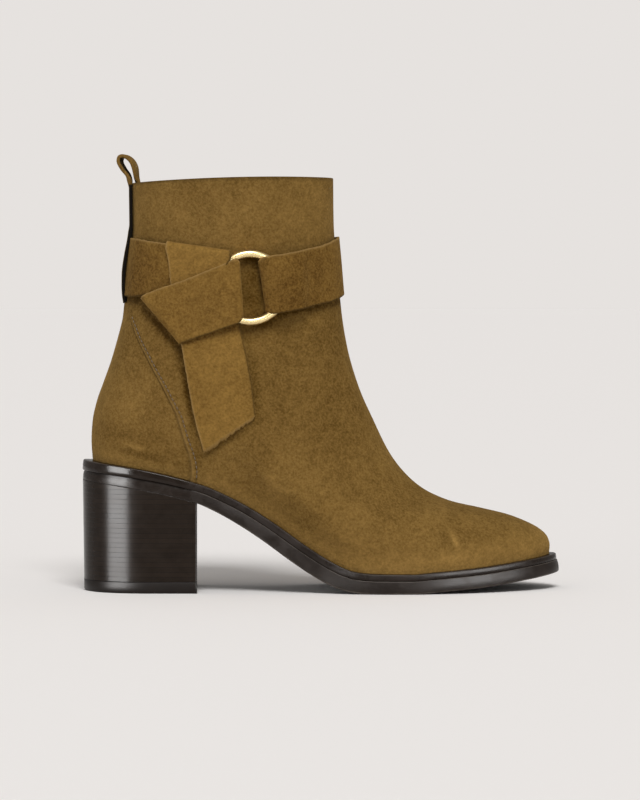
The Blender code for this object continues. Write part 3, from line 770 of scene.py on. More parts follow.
# painted light: the suede is painted paler along the feather line, against the shade of the welt
WELT_PAINTED_LIGHT = 0.45
WELT_PAINTED_LIGHT_REACH = 0.04


def brush_and_shade_tone(x, z):
    """Sum over the marks of tone times a bell, long one way and narrow the other."""
    tone = np.zeros(x.shape)
    for mark_x, mark_z, long, wide, lean, depth in BRUSH_AND_SHADE_MARKS:
        turn = np.radians(lean)
        down = (x - mark_x) * np.cos(turn) + (z - mark_z) * np.sin(turn)
        over = (z - mark_z) * np.cos(turn) - (x - mark_x) * np.sin(turn)
        tone += depth * bell(down, long) * bell(over, wide)
    return tone


def suede_material(name, dark, light):
    """Suede: the nap group's colour and relief, a rough surface and a bloom of sheen. Cut edges are paler,
    partly a painted highlight, and painted shade darkens recesses and shaded edges, where the mesh marks
    them."""
    material, tree, shader = new_material(name)
    nap = place_group(tree, suede_nap, Dark=dark, Light=light, Lay=mark(tree, "lay_and_painted_light"))
    raw_and_highlight = mix_colour(tree, mark(tree, "raw_and_highlight"), nap["Colour"], RAW_EDGE_HIGHLIGHT)
    colour = mix_colour(tree, mark(tree, "painted_shade"), raw_and_highlight, PAINTED_SHADE_COLOUR)
    feed(tree, shader, {"Base Color": colour, "Roughness": 0.95, "Specular IOR Level": 0.03})
    feed(tree, shader, {"Sheen Weight": 0.17, "Sheen Roughness": 0.45, "Sheen Tint": SHEEN_TINT})
    bump_to(tree, shader, nap["Height"], 0.5, 0.25)
    return material


olive_suede = suede_material("olive suede", *OLIVE)
suede_lay_and_painted_light = brush_and_shade_tone(suede_points[..., 0], suede_points[..., 2])
suede_raw_highlight, suede_painted_shade = np.zeros((2,) + suede_points.shape[:2])
outer_rows = slice(1, OUTER_ROWS + 1)
# painted light along the feather line, where the welt shades the suede
suede_lay_and_painted_light[outer_rows] += WELT_PAINTED_LIGHT * bell(suede_shares, WELT_PAINTED_LIGHT_REACH)[:, None]
suede_raw_highlight[outer_rows] = RAW_HIGHLIGHT_SHARE * seam_raw_highlight
suede_painted_shade[outer_rows] = SEAM_SHADE_SHARE * seam_painted_shade
# painted shade on the collar's rim
suede_painted_shade[OUTER_ROWS : OUTER_ROWS + len(RIM) + 1] = RIM_SHADE
add_grid(
    "upper_suede",
    suede_points,
    olive_suede,
    slot="suede",
    replaces=("upper",),
    marks={"lay_and_painted_light": suede_lay_and_painted_light, "raw_and_highlight": suede_raw_highlight, "painted_shade": suede_painted_shade},
)

# %% [markdown]
# ## Stitches along the seam
#
# A stitched line is a row of short humps of thread, each end pulled into its hole. One hump is
# a bead with pointed ends: a circle carried along a short line, its radius and height following
# a half sine. The same bead is set at every place along the seam by adding arrays.

# %% Seam stitches
STITCH_PITCH = 2.5
STITCH_LENGTH = 1.9
THREAD = 0.26
BEAD_RINGS = 9
BEAD_SIDES = 8


def seam_places(side):
    """Points along the stitch row and the seam's direction, one for each stitch."""
    shares = np.linspace(0.004, seam_angles(np.array([0.5]))[1] - 0.03, 240)
    angle = seam_angles(shares)[0] + SEAM_EDGE
    beside = upper_point(angle + 0.01, shares) - upper_point(angle - 0.01, shares)
    angle = side * (angle + STITCH_INSET * 0.02 / np.linalg.norm(beside, axis=-1))
    line = on_upper(angle, shares, np.full(shares.shape, 0.02))
    run = lengths_along(line)
    at = np.arange(STITCH_PITCH, run[-1], STITCH_PITCH)
    centre = fair(run, line, at)
    ahead = unit(fair(run, line, at + 0.3) - fair(run, line, at - 0.3))
    out = unit(upper_normal(np.interp(at, run, angle), np.interp(at, run, shares)))
    return centre, ahead, out


def stitch_beads(centre, ahead, out):
    """Every bead: place + run along the seam + a circle whose radius is a half sine."""
    run = np.linspace(-1.0, 1.0, BEAD_RINGS)[None, :, None, None]
    turn = full_turn(BEAD_SIDES)[None, None, :, None]
    swell = THREAD * np.sqrt(np.clip(1.0 - run**2, 0.02, 1.0))
    across = np.cross(out, ahead)
    centre, ahead, across, out = (v[:, None, None, :] for v in (centre, ahead, across, out))
    rise = 0.1 * (1.0 - run**2) - 0.05 + swell * np.sin(turn)
    return centre + ahead * run * STITCH_LENGTH / 2.0 + out * rise + across * swell * np.cos(turn)


beads = np.concatenate([stitch_beads(*seam_places(side)) for side in (1.0, -1.0)])
bead_starts = BEAD_RINGS * BEAD_SIDES * np.arange(len(beads))
stitch_quads = (grid_quads(BEAD_RINGS, BEAD_SIDES)[None] + bead_starts[:, None, None]).reshape(-1, 4)
bead_ring = np.arange(BEAD_SIDES)
bead_ends = [tuple(start + bead_ring[::-1]) for start in bead_starts]
bead_ends += [tuple(start + (BEAD_RINGS - 1) * BEAD_SIDES + bead_ring) for start in bead_starts]
thread, thread_tree, thread_shader = new_material("olive thread")
thread_colour = mix_colour(thread_tree, noise(thread_tree, 0.35), (0.06, 0.035, 0.012), (0.16, 0.1, 0.035))
feed(thread_tree, thread_shader, {"Base Color": thread_colour, "Roughness": 0.7})
add_piece("seam_stitches", beads, stitch_quads, thread, slot="suede", caps=bead_ends)

# %% [markdown]
# ## Lining
#
# Inside, a thin smooth leather lies against the suede. It is the same function again, 1.3 mm
# and 2.2 mm inside the face, closed at the collar and at the insole.

# %% Lining of the shaft and foot
LINING_BACK = 1.3
LINING_ENDS = (0.02, 0.997)
LINING_ROWS = 70
LINING_HIDDEN_ROWS = 60
LINING_COLUMNS = 220


def lining_face(shares, depth):
    """Points a depth inside the suede's face, and the way out of them."""
    angles, shares = np.broadcast_arrays(full_turn(LINING_COLUMNS)[None], shares[:, None])
    return on_upper(angles, shares, np.full(angles.shape, -depth)), upper_normal(angles, shares)


def lining_shell():
    """Front of the lining from the bottom up, its rounded top edge, and its hidden back."""
    low, high = LINING_ENDS
    front, out = lining_face(np.linspace(low, high, LINING_ROWS), WALL)
    ripple = 0.15 * np.sin(front[..., 2] / 11.0 + 2.0 * np.sin(front[..., 0] / 23.0))
    front = front - ripple[..., None] * out
    back, _ = lining_face(np.linspace(high, low, LINING_HIDDEN_ROWS), LINING_BACK)
    top = (front[-1:] + back[:1]) / 2.0 + np.array((0.0, 0.0, 0.35))
    return np.concatenate([front, top, back])


tan_lining, lining_tree, lining_shader = new_material("tan lining leather")
lining_grain = place_group(lining_tree, leather_grain, Dark=(0.23, 0.14, 0.07), Light=(0.36, 0.235, 0.125))
feed(lining_tree, lining_shader, {"Base Color": lining_grain["Colour"], "Roughness": 0.55})
bump_to(lining_tree, lining_shader, lining_grain["Height"], 0.2, 0.15)
add_grid("shaft_lining", lining_shell(), tan_lining, slot="insole_leather")

# %% [markdown]
# ## Pieces that follow the outline of the sole
#
# Seen from above, the welt, outsole, insole and heel share one outline, moved outward or
# inward by a margin. Each is a profile carried round that outline. A plate that has to be
# closed across gets rows that run in from the edge to a middle line, where the points of the
# two sides are the same ones.


# %% Outline helpers
def sole_outline(margin, count):
    """(x, y) at even steps round the sole, a margin outside the feather line, with the
    outward direction. The point numbers mirror: k on one side is count - k on the other."""
    angle = np.linspace(0.0, np.pi, 1600)

    def base(at):
        along = (1.0 - np.cos(at)) / 2.0
        x = FEATHER_BACK_X + along * (FEATHER_TOE_X - FEATHER_BACK_X)
        y = fullness(along, np.zeros_like(along)) * np.sin(at)
        return np.stack([x, y], axis=-1), swing(along, 0.0)

    halves = []
    for side in (-1.0, 1.0):

        def edge(at):
            flat, inward = base(at)
            return np.stack([flat[:, 0], inward + side * flat[:, 1]], axis=-1)

        forward = unit(edge(angle + 0.004) - edge(angle - 0.004))
        outward = side * np.stack([-forward[:, 1], forward[:, 0]], axis=-1)
        run = lengths_along(edge(angle))
        at = np.linspace(0.0, run[-1], count // 2 + 1)
        halves.append((fair(run, edge(angle) + margin * outward, at), fair(run, outward, at)))
    (outer, outer_way), (inner, inner_way) = halves
    flat = np.concatenate([outer, inner[-2:0:-1]])
    way = unit(np.concatenate([outer_way, inner_way[-2:0:-1]]))
    return flat, way


def round_sole(section, count):
    """Points of a profile carried round the sole. Each row of the profile is a margin from
    the feather line and a function of x that gives its height above the tread."""
    rows = []
    for margin, raised in section:
        flat, _ = sole_outline(margin, count)
        side = sole_point(flat[:, 0], raised(flat[:, 0]))
        rows.append(np.stack([side[:, 0], flat[:, 1], side[:, 1]], axis=-1))
    return np.stack(rows)


def toward_middle(edge_row, steps):
    """Rows from the middle line out to an edge row, bending with the two sides' heights."""
    mirrored = np.roll(edge_row[::-1], 1, axis=0)
    middle = (edge_row + mirrored) / 2.0
    share = np.linspace(0.0, 1.0, steps, endpoint=False)[:, None, None]
    return middle * (1.0 - share) + edge_row * share


def plate_rows(side, low_steps, top_steps):
    """Rows of a plate: from the middle line out underneath, up its side, and in again on top."""
    low, top = toward_middle(side[0], low_steps), toward_middle(side[-1], top_steps)
    return np.concatenate([low, side, top[::-1]])


def joined_middle(quads, columns, rows):
    """The first and last rows lie on the middle line: both sides use the same points there."""
    number = np.arange(rows * columns)
    column = number % columns
    on_middle = (number // columns == 0) | (number // columns == rows - 1)
    other = number - column + np.minimum(column, (columns - column) % columns)
    return np.where(on_middle, other, number)[quads]


def add_plate(name, points, material, **kwargs):
    """A closed plate from rows that start and end on the middle line."""
    rows, columns = points.shape[:2]
    quads = joined_middle(grid_quads(rows, columns), columns, rows)
    used = np.unique(quads)
    renumber = np.zeros(rows * columns, dtype=int)
    renumber[used] = np.arange(len(used))
    marks = {key: np.asarray(value).ravel()[used] for key, value in kwargs.pop("marks", {}).items()}
    add_piece(name, points.reshape(-1, 3)[used], renumber[quads], material, marks=marks, **kwargs)


print("outline length:", round(float(lengths_along(sole_outline(0.0, 400)[0])[-1])), "mm")

# %% [markdown]
# ## Sole leather
#
# The edges of a welted sole are trimmed, inked dark brown and waxed. Ink wears thin on the corners first. The
# corner is marked on the mesh where the profile bends, broken up by noise, and mixed toward a paler brown; on
# the outsole that brown is paler still, partly worn ink and partly a painted highlight along its corners.
# Behind the waist the edge is burnished together with the heel.
# An exactly upright polished side would mirror the floor, but a burnished one is slightly full
# and mirrors what stands higher, so its normal leans up a little, by a second shared group.

# %% Rubbed edge and highlight group
rubbed_edge_and_highlight, rub_highlight_in, rub_highlight_out = new_group(
    "rubbed edge and highlight",
    (
        ("Colour", COLOUR, (0.02, 0.014, 0.01, 1.0)),
        ("Rubbed", COLOUR, (0.09, 0.07, 0.055, 1.0)),
        ("Edge", VALUE, 0.0),
    ),
    (("Colour", COLOUR),),
)
rub_highlight_patches = spread(rubbed_edge_and_highlight, noise(rubbed_edge_and_highlight, 6.0, 4.0, 0.65), 0.35, 0.65, 0.35, 1.0)
rub_highlight_mask = math_node(rubbed_edge_and_highlight, "MULTIPLY", rub_highlight_patches, rub_highlight_in.outputs["Edge"])
rub_highlight_colour = mix_colour(rubbed_edge_and_highlight, rub_highlight_mask, rub_highlight_in.outputs["Colour"], rub_highlight_in.outputs["Rubbed"])
feed(rubbed_edge_and_highlight, rub_highlight_out, {"Colour": rub_highlight_colour})
print("group:", rubbed_edge_and_highlight.name)

# %% Leaning normal group
leaning_normal, lean_in, lean_out = new_group(
    "leaning normal",
    (("Lean", VALUE, 0.0),),
    (("Normal", VECTOR),),
)
lean_mesh = leaning_normal.nodes.new("ShaderNodeNewGeometry")
lean_up = leaning_normal.nodes.new("ShaderNodeCombineXYZ")
lean_sum = leaning_normal.nodes.new("ShaderNodeVectorMath")
lean_unit = leaning_normal.nodes.new("ShaderNodeVectorMath")
lean_unit.operation = "NORMALIZE"
feed(leaning_normal, lean_up, {"Z": lean_in.outputs["Lean"]})
feed(leaning_normal, lean_sum, {0: lean_mesh.outputs["Normal"], 1: lean_up.outputs["Vector"]})
feed(leaning_normal, lean_unit, {0: lean_sum.outputs["Vector"]})
feed(leaning_normal, lean_out, {"Normal": lean_unit.outputs["Vector"]})
print("group:", leaning_normal.name)

# %% Waxed leather
HEEL_PART_X = -60.0
HEEL_PART_FADE = 14.0
BURNISH = 1.6


def at_heel(x):
    """1 behind the breast of the heel, falling smoothly to 0 in the waist."""
    share = np.clip((HEEL_PART_X - x) / HEEL_PART_FADE, 0.0, 1.0)
    return share * share * (3.0 - 2.0 * share)


def waxed_leather(name, dark, light, rubbed_highlight, roughness, relief):
    """Dark waxed edge leather: grain, worn corners mixed toward a paler colour, which on the outsole is
    partly a painted highlight, and a low gloss, higher where the mesh is marked to lean."""
    material, tree, shader = new_material(name)
    grain = place_group(tree, leather_grain, Dark=dark, Light=light)
    rub_highlight = place_group(tree, rubbed_edge_and_highlight, Colour=grain["Colour"], Rubbed=rubbed_highlight, Edge=mark(tree, "edge"))
    lean = mark(tree, "lean")
    waxed = spread(tree, grain["Blotch"], 0.0, 1.0, roughness - 0.05, roughness + 0.07)
    gloss = math_node(tree, "SUBTRACT", waxed, math_node(tree, "MULTIPLY", lean, BURNISH))
    feed(tree, shader, {"Base Color": rub_highlight["Colour"], "Roughness": gloss, "Specular IOR Level": 0.18})
    leaning = place_group(tree, leaning_normal, Lean=lean)
    bump_to(tree, shader, grain["Height"], relief, 0.12, leaning["Normal"])
    return material


welt_leather = waxed_leather(
    "waxed welt leather", (0.012, 0.0075, 0.0048), (0.02, 0.0125, 0.0085), (0.05, 0.038, 0.03), 0.3, 0.08
)
# the outsole's corners in a paler brown: worn ink and a painted highlight
sole_leather = waxed_leather(
    "waxed sole leather", (0.012, 0.0075, 0.005), (0.02, 0.013, 0.009), (0.1, 0.084, 0.07), 0.34, 0.06
)
print("leathers:", welt_leather.name, "and", sole_leather.name)

# %% Welt
LEAN = 0.08
WELT_COUNT = 1740
WELT_EDGE = SOLE_MARGIN - 0.75
RIB_DEPTH = 0.03
RIB_COUNT = 580
ROUND = 0.7
WELT_PROUD = 0.5
QUARTER = np.linspace(0.0, np.pi / 2.0, 5)


def welt_section():
    """Margin, height and wear of the welt's profile: flat top, rounded shoulder, side, low
    corner and flat bottom."""
    rows = [(-WALL, welt_high, 0.0), (1.2, welt_high, 0.0)]
    for turn in QUARTER:
        margin = WELT_EDGE - ROUND + ROUND * np.sin(turn)
        drop = ROUND * (1.0 - np.cos(turn))
        rows.append((margin, lambda x, drop=drop: welt_high(x) - drop, np.sin(2.0 * turn)))
    rows.append((WELT_EDGE + 0.1, lambda x: 0.5 * (welt_high(x) + welt_low(x)), 0.0))
    rows.append((WELT_EDGE + 0.05, lambda x: welt_low(x) + 0.4, 0.0))
    rows.append((WELT_EDGE - 0.2, welt_low, 0.0))
    rows.append((-WALL, welt_low, 0.0))
    return rows


welt_rows = welt_section()
welt_points = round_sole([row[:2] for row in welt_rows], WELT_COUNT)
welt_way = sole_outline(WELT_EDGE, WELT_COUNT)[1]
welt_rib = RIB_DEPTH * np.cos(np.arange(WELT_COUNT) * 2.0 * np.pi * RIB_COUNT / WELT_COUNT)
rib_share = np.array((0.0, 0.3, 0.8, 1.0, 1.0, 1.0, 0.8, 0.4, 0.0, 0.0, 0.0))
welt_points[..., :2] += rib_share[:, None, None] * welt_rib[:, None] * welt_way
welt_side = welt_points[2:10]
welt_side[..., :2] += WELT_PROUD * at_heel(welt_side[..., :1]) * welt_way
welt_marks = np.broadcast_to(np.array([row[2] for row in welt_rows])[:, None], welt_points.shape[:2])
add_grid(
    "welt_strip",
    welt_points,
    welt_leather,
    slot="welt_leather",
    replaces=("welt",),
    marks={"edge": welt_marks, "lean": LEAN * at_heel(welt_points[..., 0])},
)

# %% Outsole
SOLE_COUNT = 480
SOLE_LEAN = 0.36
SOLE_GAP = 0.02
SOLE_INSET = 0.86
LOW_CORNER = 0.9
TOP_CORNER = 0.4
SHARPER = 0.88
BOTTOM_ROWS = 9


def sole_top(x):
    return welt_low(x) - SOLE_GAP


def sole_section():
    """Margin, height and wear of the outsole's profile: rounded low corner, a side that leans
    in over its upper half, and a rounded top corner."""
    rows = []
    for turn in QUARTER:
        margin = SOLE_MARGIN - LOW_CORNER + LOW_CORNER * np.sin(turn)
        rise = LOW_CORNER * (1.0 - np.cos(turn))
        rows.append((margin, lambda x, rise=rise: rise * (1.0 - SHARPER * at_heel(x)), np.sin(2.0 * turn)))
    for share, out in ((0.3, 0.06), (0.45, 0.08), (0.6, 0.0), (0.75, -0.15)):
        rows.append((SOLE_MARGIN + out, lambda x, share=share: sole_top(x) * share, 0.0))
    for turn in QUARTER[::-1]:
        margin = SOLE_MARGIN - SOLE_LEAN - TOP_CORNER + TOP_CORNER * np.sin(turn)
        drop = TOP_CORNER * (1.0 - np.cos(turn))
        rows.append((margin, lambda x, drop=drop: sole_top(x) - drop, np.sin(2.0 * turn)))
    return rows


sole_rows = sole_section()
sole_side = round_sole([row[:2] for row in sole_rows], SOLE_COUNT)
sole_way = sole_outline(SOLE_MARGIN, SOLE_COUNT)[1]
sole_side[..., :2] -= SOLE_INSET * at_heel(sole_side[..., :1]) * sole_way
low_rows = len(QUARTER) - 1
sole_corner = sole_side[:low_rows]
to_side = sole_side[low_rows, :, :2] - sole_corner[..., :2]
sole_corner[..., :2] += SHARPER * at_heel(sole_corner[..., :1]) * to_side
sole_points = plate_rows(sole_side, BOTTOM_ROWS, 5)
sole_marks = np.zeros(sole_points.shape[:2])
sole_marks[BOTTOM_ROWS : BOTTOM_ROWS + len(sole_rows)] = np.array([row[2] for row in sole_rows])[:, None]
sole_burnished = at_heel(sole_points[..., 0])
add_plate(
    "outsole_leather",
    sole_points,
    sole_leather,
    slot="sole_leather",
    replaces=("outsole",),
    marks={"edge": sole_marks * (1.0 - sole_burnished), "lean": LEAN * sole_burnished},
)

# %% Insole
INSOLE_COUNT = 300
INSOLE_BOTTOM_ROWS = 4
INSOLE_TOP = ((-2.9, -0.5), (-3.0, 2.0), (-3.3, 2.6), (-4.2, 2.9), (-6.5, 2.6))
insole_section = [(-2.9, welt_low)]
insole_section += [(margin, lambda x, over=over: welt_high(x) + over) for margin, over in INSOLE_TOP]
insole_points = plate_rows(round_sole(insole_section, INSOLE_COUNT), INSOLE_BOTTOM_ROWS, 8)
insole_marks = np.zeros(insole_points.shape[:2])
worn_row = INSOLE_BOTTOM_ROWS + 2
insole_marks[worn_row : worn_row + 3] = 0.6
insole_leather = waxed_leather(
    "tan insole leather", (0.24, 0.145, 0.07), (0.37, 0.24, 0.125), (0.45, 0.31, 0.18), 0.5, 0.25
)
add_plate(
    "insole_leather",
    insole_points,
    insole_leather,
    slot="insole_leather",
    replaces=("insole",),
    marks={"edge": insole_marks},
)

# %% [markdown]
# ## Stacked heel
#
# The heel is a pile of leather lifts, glued, trimmed together and burnished, so fine level
# lines run round it. The side is a grid of fixed levels with a shallow groove at each joint;
# levels above the sloping seat are pressed down onto it, and the quads that fold flat there are
# left out. The breast, the straight front face, is part of the same outline.

# %% Heel outline
HEEL_BREAST_X = -65.0
HEEL_TAPER = 0.6
TOP_PIECE = 6.0
LIFT_PITCH = 2.5
CORNER = 1.0
HEEL_ARC = 90
HEEL_BREAST = 14
HEEL_MARGIN = SOLE_MARGIN - 0.8
OUTLINE_COUNT = 1200


def heel_outline(inset):
    """(x, y) round the heel: the sole's outline behind the breast, a small round corner, and
    the straight breast, numbered so that k and count - k mirror each other."""
    flat, _ = sole_outline(HEEL_MARGIN - inset, OUTLINE_COUNT)
    half = OUTLINE_COUNT // 2
    behind_ball = slice(OUTLINE_COUNT // 3)
    halves = []
    for side in (flat[: half + 1], np.vstack([flat[:1], flat[:half:-1]])):
        run = lengths_along(side)
        stop = float(np.interp(HEEL_BREAST_X, side[behind_ball, 0], run[behind_ball]))
        arc = fair(run, side, np.linspace(0.0, stop - CORNER, HEEL_ARC))
        corner = fair(run, side, np.array([stop]))[0]
        middle = np.array((HEEL_BREAST_X, -0.4))
        start = corner + unit(middle - corner) * CORNER
        t = np.linspace(0.0, 1.0, 7)[1:-1, None]
        bend = arc[-1] * (1 - t) ** 2 + 2.0 * corner * t * (1 - t) + start * t**2
        breast = start + (middle - start) * np.linspace(0.0, 1.0, HEEL_BREAST)[:, None]
        halves.append(np.concatenate([arc, bend, breast]))
    outer, inner = halves
    return np.concatenate([outer, inner[-2:0:-1]])


heel_top = heel_outline(0.0)
heel_low = heel_outline(HEEL_TAPER)
print("heel outline:", heel_top.shape)

# %% Heel block
LEVEL_STEPS = np.array((0.0, 0.015, 0.05, 0.16, 0.3, 0.5, 0.7, 0.84, 0.95, 0.985))
GROOVE_DEPTH = 0.003
GROOVE_WIDTH = 0.16
LIFT_SLOPE = 0.012
SEAT_GAP = 0.05
HEEL_HEIGHT = 50.0


def heel_levels():
    """Heights of the heel's rows: ten to a lift, closest at the joints."""
    lifts = np.arange(TOP_PIECE, 60.0, LIFT_PITCH)
    return (lifts[:, None] + LIFT_PITCH * LEVEL_STEPS).ravel()


def heel_side(levels):
    """Outline blended from foot to seat by height, each lift leaning in a little toward its
    top, less a groove at each joint; levels above the seat are pressed down onto it."""
    seat = sole_height(heel_top[:, 0], "tread") - SEAT_GAP
    share = ((levels - TOP_PIECE) / HEEL_HEIGHT)[:, None, None]
    flat = heel_low * (1.0 - share) + heel_top * share
    forward = unit(np.roll(heel_top, -1, axis=0) - np.roll(heel_top, 1, axis=0))
    out = np.stack([forward[:, 1], -forward[:, 0]], axis=-1)
    from_joint = np.abs((levels - TOP_PIECE + LIFT_PITCH / 2.0) % LIFT_PITCH - LIFT_PITCH / 2.0)
    groove = GROOVE_DEPTH * bell(from_joint, GROOVE_WIDTH)
    within = ((levels - TOP_PIECE) / LIFT_PITCH) % 1.0
    flat = flat + (LIFT_SLOPE * (0.5 - within) - groove)[:, None, None] * out
    z = np.minimum(levels[:, None], seat[None])
    return np.concatenate([flat, z[..., None]], axis=-1), levels[:, None] >= seat[None]


def heel_mesh():
    """Side faces with everything pressed flat left out: a quad with one pressed side is a
    triangle, because the pressed points of a column are one point."""
    side, pressed = heel_side(heel_levels())
    rows, count = side.shape[:2]
    first = np.argmax(pressed, axis=0)
    number = np.arange(rows * count)
    number = np.where(pressed.ravel(), (first * count + np.arange(count))[number % count], number)
    faces = number[grid_quads(rows, count)]
    left_flat, right_flat = faces[:, 0] == faces[:, 3], faces[:, 1] == faces[:, 2]
    whole = faces[~left_flat & ~right_flat]
    fans = faces[left_flat & ~right_flat][:, :3].tolist()
    fans += faces[right_flat & ~left_flat][:, [0, 1, 3]].tolist()
    loops = (np.arange(count)[::-1], first * count + np.arange(count))
    caps = [cap for loop in loops for cap in across_loop(loop)]
    return side, whole, fans + caps


def across_loop(loop):
    """Faces that close a loop of points, from its back end to its front end."""
    count = len(loop)
    half = count // 2
    shift = 1 if loop[0] > loop[-1] else 0
    loop = np.roll(loop, shift)
    ends = [loop[[0, 1, count - 1]], loop[[half - 1, half, half + 1]]]
    middle = [loop[[k, k + 1, count - k - 1, count - k]] for k in range(1, half - 1)]
    return [tuple(face.tolist()) for face in ends + middle]


def compact(points, quads, others):
    """The same faces with unused points dropped."""
    flat = [number for face in others for number in face]
    used = np.unique(np.concatenate([quads.ravel(), np.array(flat, dtype=int)]))
    renumber = np.zeros(int(used.max()) + 1, dtype=int)
    renumber[used] = np.arange(len(used))
    others = [tuple(renumber[list(face)].tolist()) for face in others]
    return points.reshape(-1, 3)[used], renumber[quads], others


heel_points, heel_quads, heel_others = compact(*heel_mesh())
print("heel faces:", len(heel_quads) + len(heel_others))

# %% [markdown]
# ## Polish of the stack
#
# Each lift takes the dark ink a little differently, and the joints stay as thin dark lines.
# Both follow the height alone, so the material reads the boot's own upright coordinate: its
# remainder over one lift gives the line, its whole number a tone. The polish is a low roughness
# on the leaning normal, and the wearing piece under the stack has the same, less finely done.

# %% Stacked leather and the heel
JOINT_INK = 0.7


def stacked_leather():
    """Grain colour, toned by the number of the lift and darkened at each joint."""
    material, tree, shader = new_material("stacked heel leather")
    grain = place_group(tree, leather_grain, Dark=(0.011, 0.0068, 0.004), Light=(0.018, 0.0115, 0.0075))
    split = tree.nodes.new("ShaderNodeSeparateXYZ")
    feed(tree, split, {"Vector": own_place(tree)})
    over = math_node(tree, "SUBTRACT", split.outputs["Z"], TOP_PIECE * MM)
    level = math_node(tree, "DIVIDE", over, LIFT_PITCH * MM)
    lift = math_node(tree, "FLOOR", level)
    tone = math_node(tree, "FRACT", math_node(tree, "MULTIPLY", lift, 0.618))
    from_middle = math_node(tree, "SUBTRACT", math_node(tree, "FRACT", level), 0.5)
    joint = spread(tree, math_node(tree, "ABSOLUTE", from_middle), 0.43, 0.49, 0.0, JOINT_INK)
    toned = mix_colour(tree, math_node(tree, "MULTIPLY", tone, 0.5), grain["Colour"], (0.022, 0.014, 0.009))
    lined = mix_colour(tree, joint, toned, (0.003, 0.002, 0.0015))
    gloss = spread(tree, grain["Blotch"], 0.0, 1.0, 0.21, 0.24)
    feed(tree, shader, {"Base Color": lined, "Roughness": gloss, "Specular IOR Level": 0.15})
    leaning = place_group(tree, leaning_normal, Lean=LEAN)
    bump_to(tree, shader, grain["Height"], 0.03, 0.06, leaning["Normal"])
    return material


add_piece(
    "stacked_heel",
    heel_points,
    heel_quads,
    stacked_leather(),
    slot="stacked_leather",
    replaces=("heel_block",),
    caps=heel_others,
)

# %% Heel top piece
# inset and height of each row
TOP_PIECE_SIDE = ((0.9, 0.0), (0.62, 0.08), (0.27, 0.4), (0.0, 0.9), (0.0, 3.0), (0.0, 5.6), (0.12, 5.85))


def top_piece_points():
    """Rows from the bottom's middle line out, round the low corner, up the side and in."""
    side = []
    for inset, z in TOP_PIECE_SIDE:
        flat = heel_outline(HEEL_TAPER + inset)
        side.append(np.column_stack([flat, np.full(len(flat), z)]))
    return plate_rows(np.stack(side), 8, 3)


rubber, rubber_tree, rubber_shader = new_material("dark heel rubber")
rubber_colours = {"Dark": (0.008, 0.005, 0.0035), "Light": (0.013, 0.0085, 0.006)}
rubber_grain = place_group(rubber_tree, leather_grain, **rubber_colours)
rubber_looks = {"Base Color": rubber_grain["Colour"], "Roughness": 0.34, "Specular IOR Level": 0.15}
feed(rubber_tree, rubber_shader, rubber_looks)
rubber_lean = place_group(rubber_tree, leaning_normal, Lean=LEAN)
bump_to(rubber_tree, rubber_shader, rubber_grain["Height"], 0.1, 0.1, rubber_lean["Normal"])
add_plate(
    "heel_wear_piece",
    top_piece_points(),
    rubber,
    slot="heel_rubber",
    replaces=("heel_top_piece",),
)

# %% [markdown]
# ## The strap and its knot
#
# One belt of suede, 30 mm wide, starts folded round the ring, runs forward round the shaft and
# back to the outer side, goes through the ring, folds back over itself, passes behind and hangs
# down through its own loop. A cloth simulation of a knot is slow and slips; a leather worker
# would write down where each edge lies. So the path is a table of rows, each with its two edges
# in side view and its height off the upper, and the fine strap is drawn through them.

# %% Strap tables
STRAP_WIDTH = 30.0
STRAP_THICK = 1.3
ACROSS = np.linspace(0.0, 1.0, 41)
# angle in degrees, height, lift
BELT = np.array((
    (148.0, 164.3, 2.4), (162.0, 166.6, 2.2), (180.0, 168.2, 1.8), (200.0, 168.0, 1.4),
    (270.0, 167.4, 1.0), (340.0, 167.4, 1.0), (360.0, 167.8, 1.0), (374.0, 167.4, 1.3),
    (384.0, 167.0, 2.2),
))
BELT_TONE = -0.28
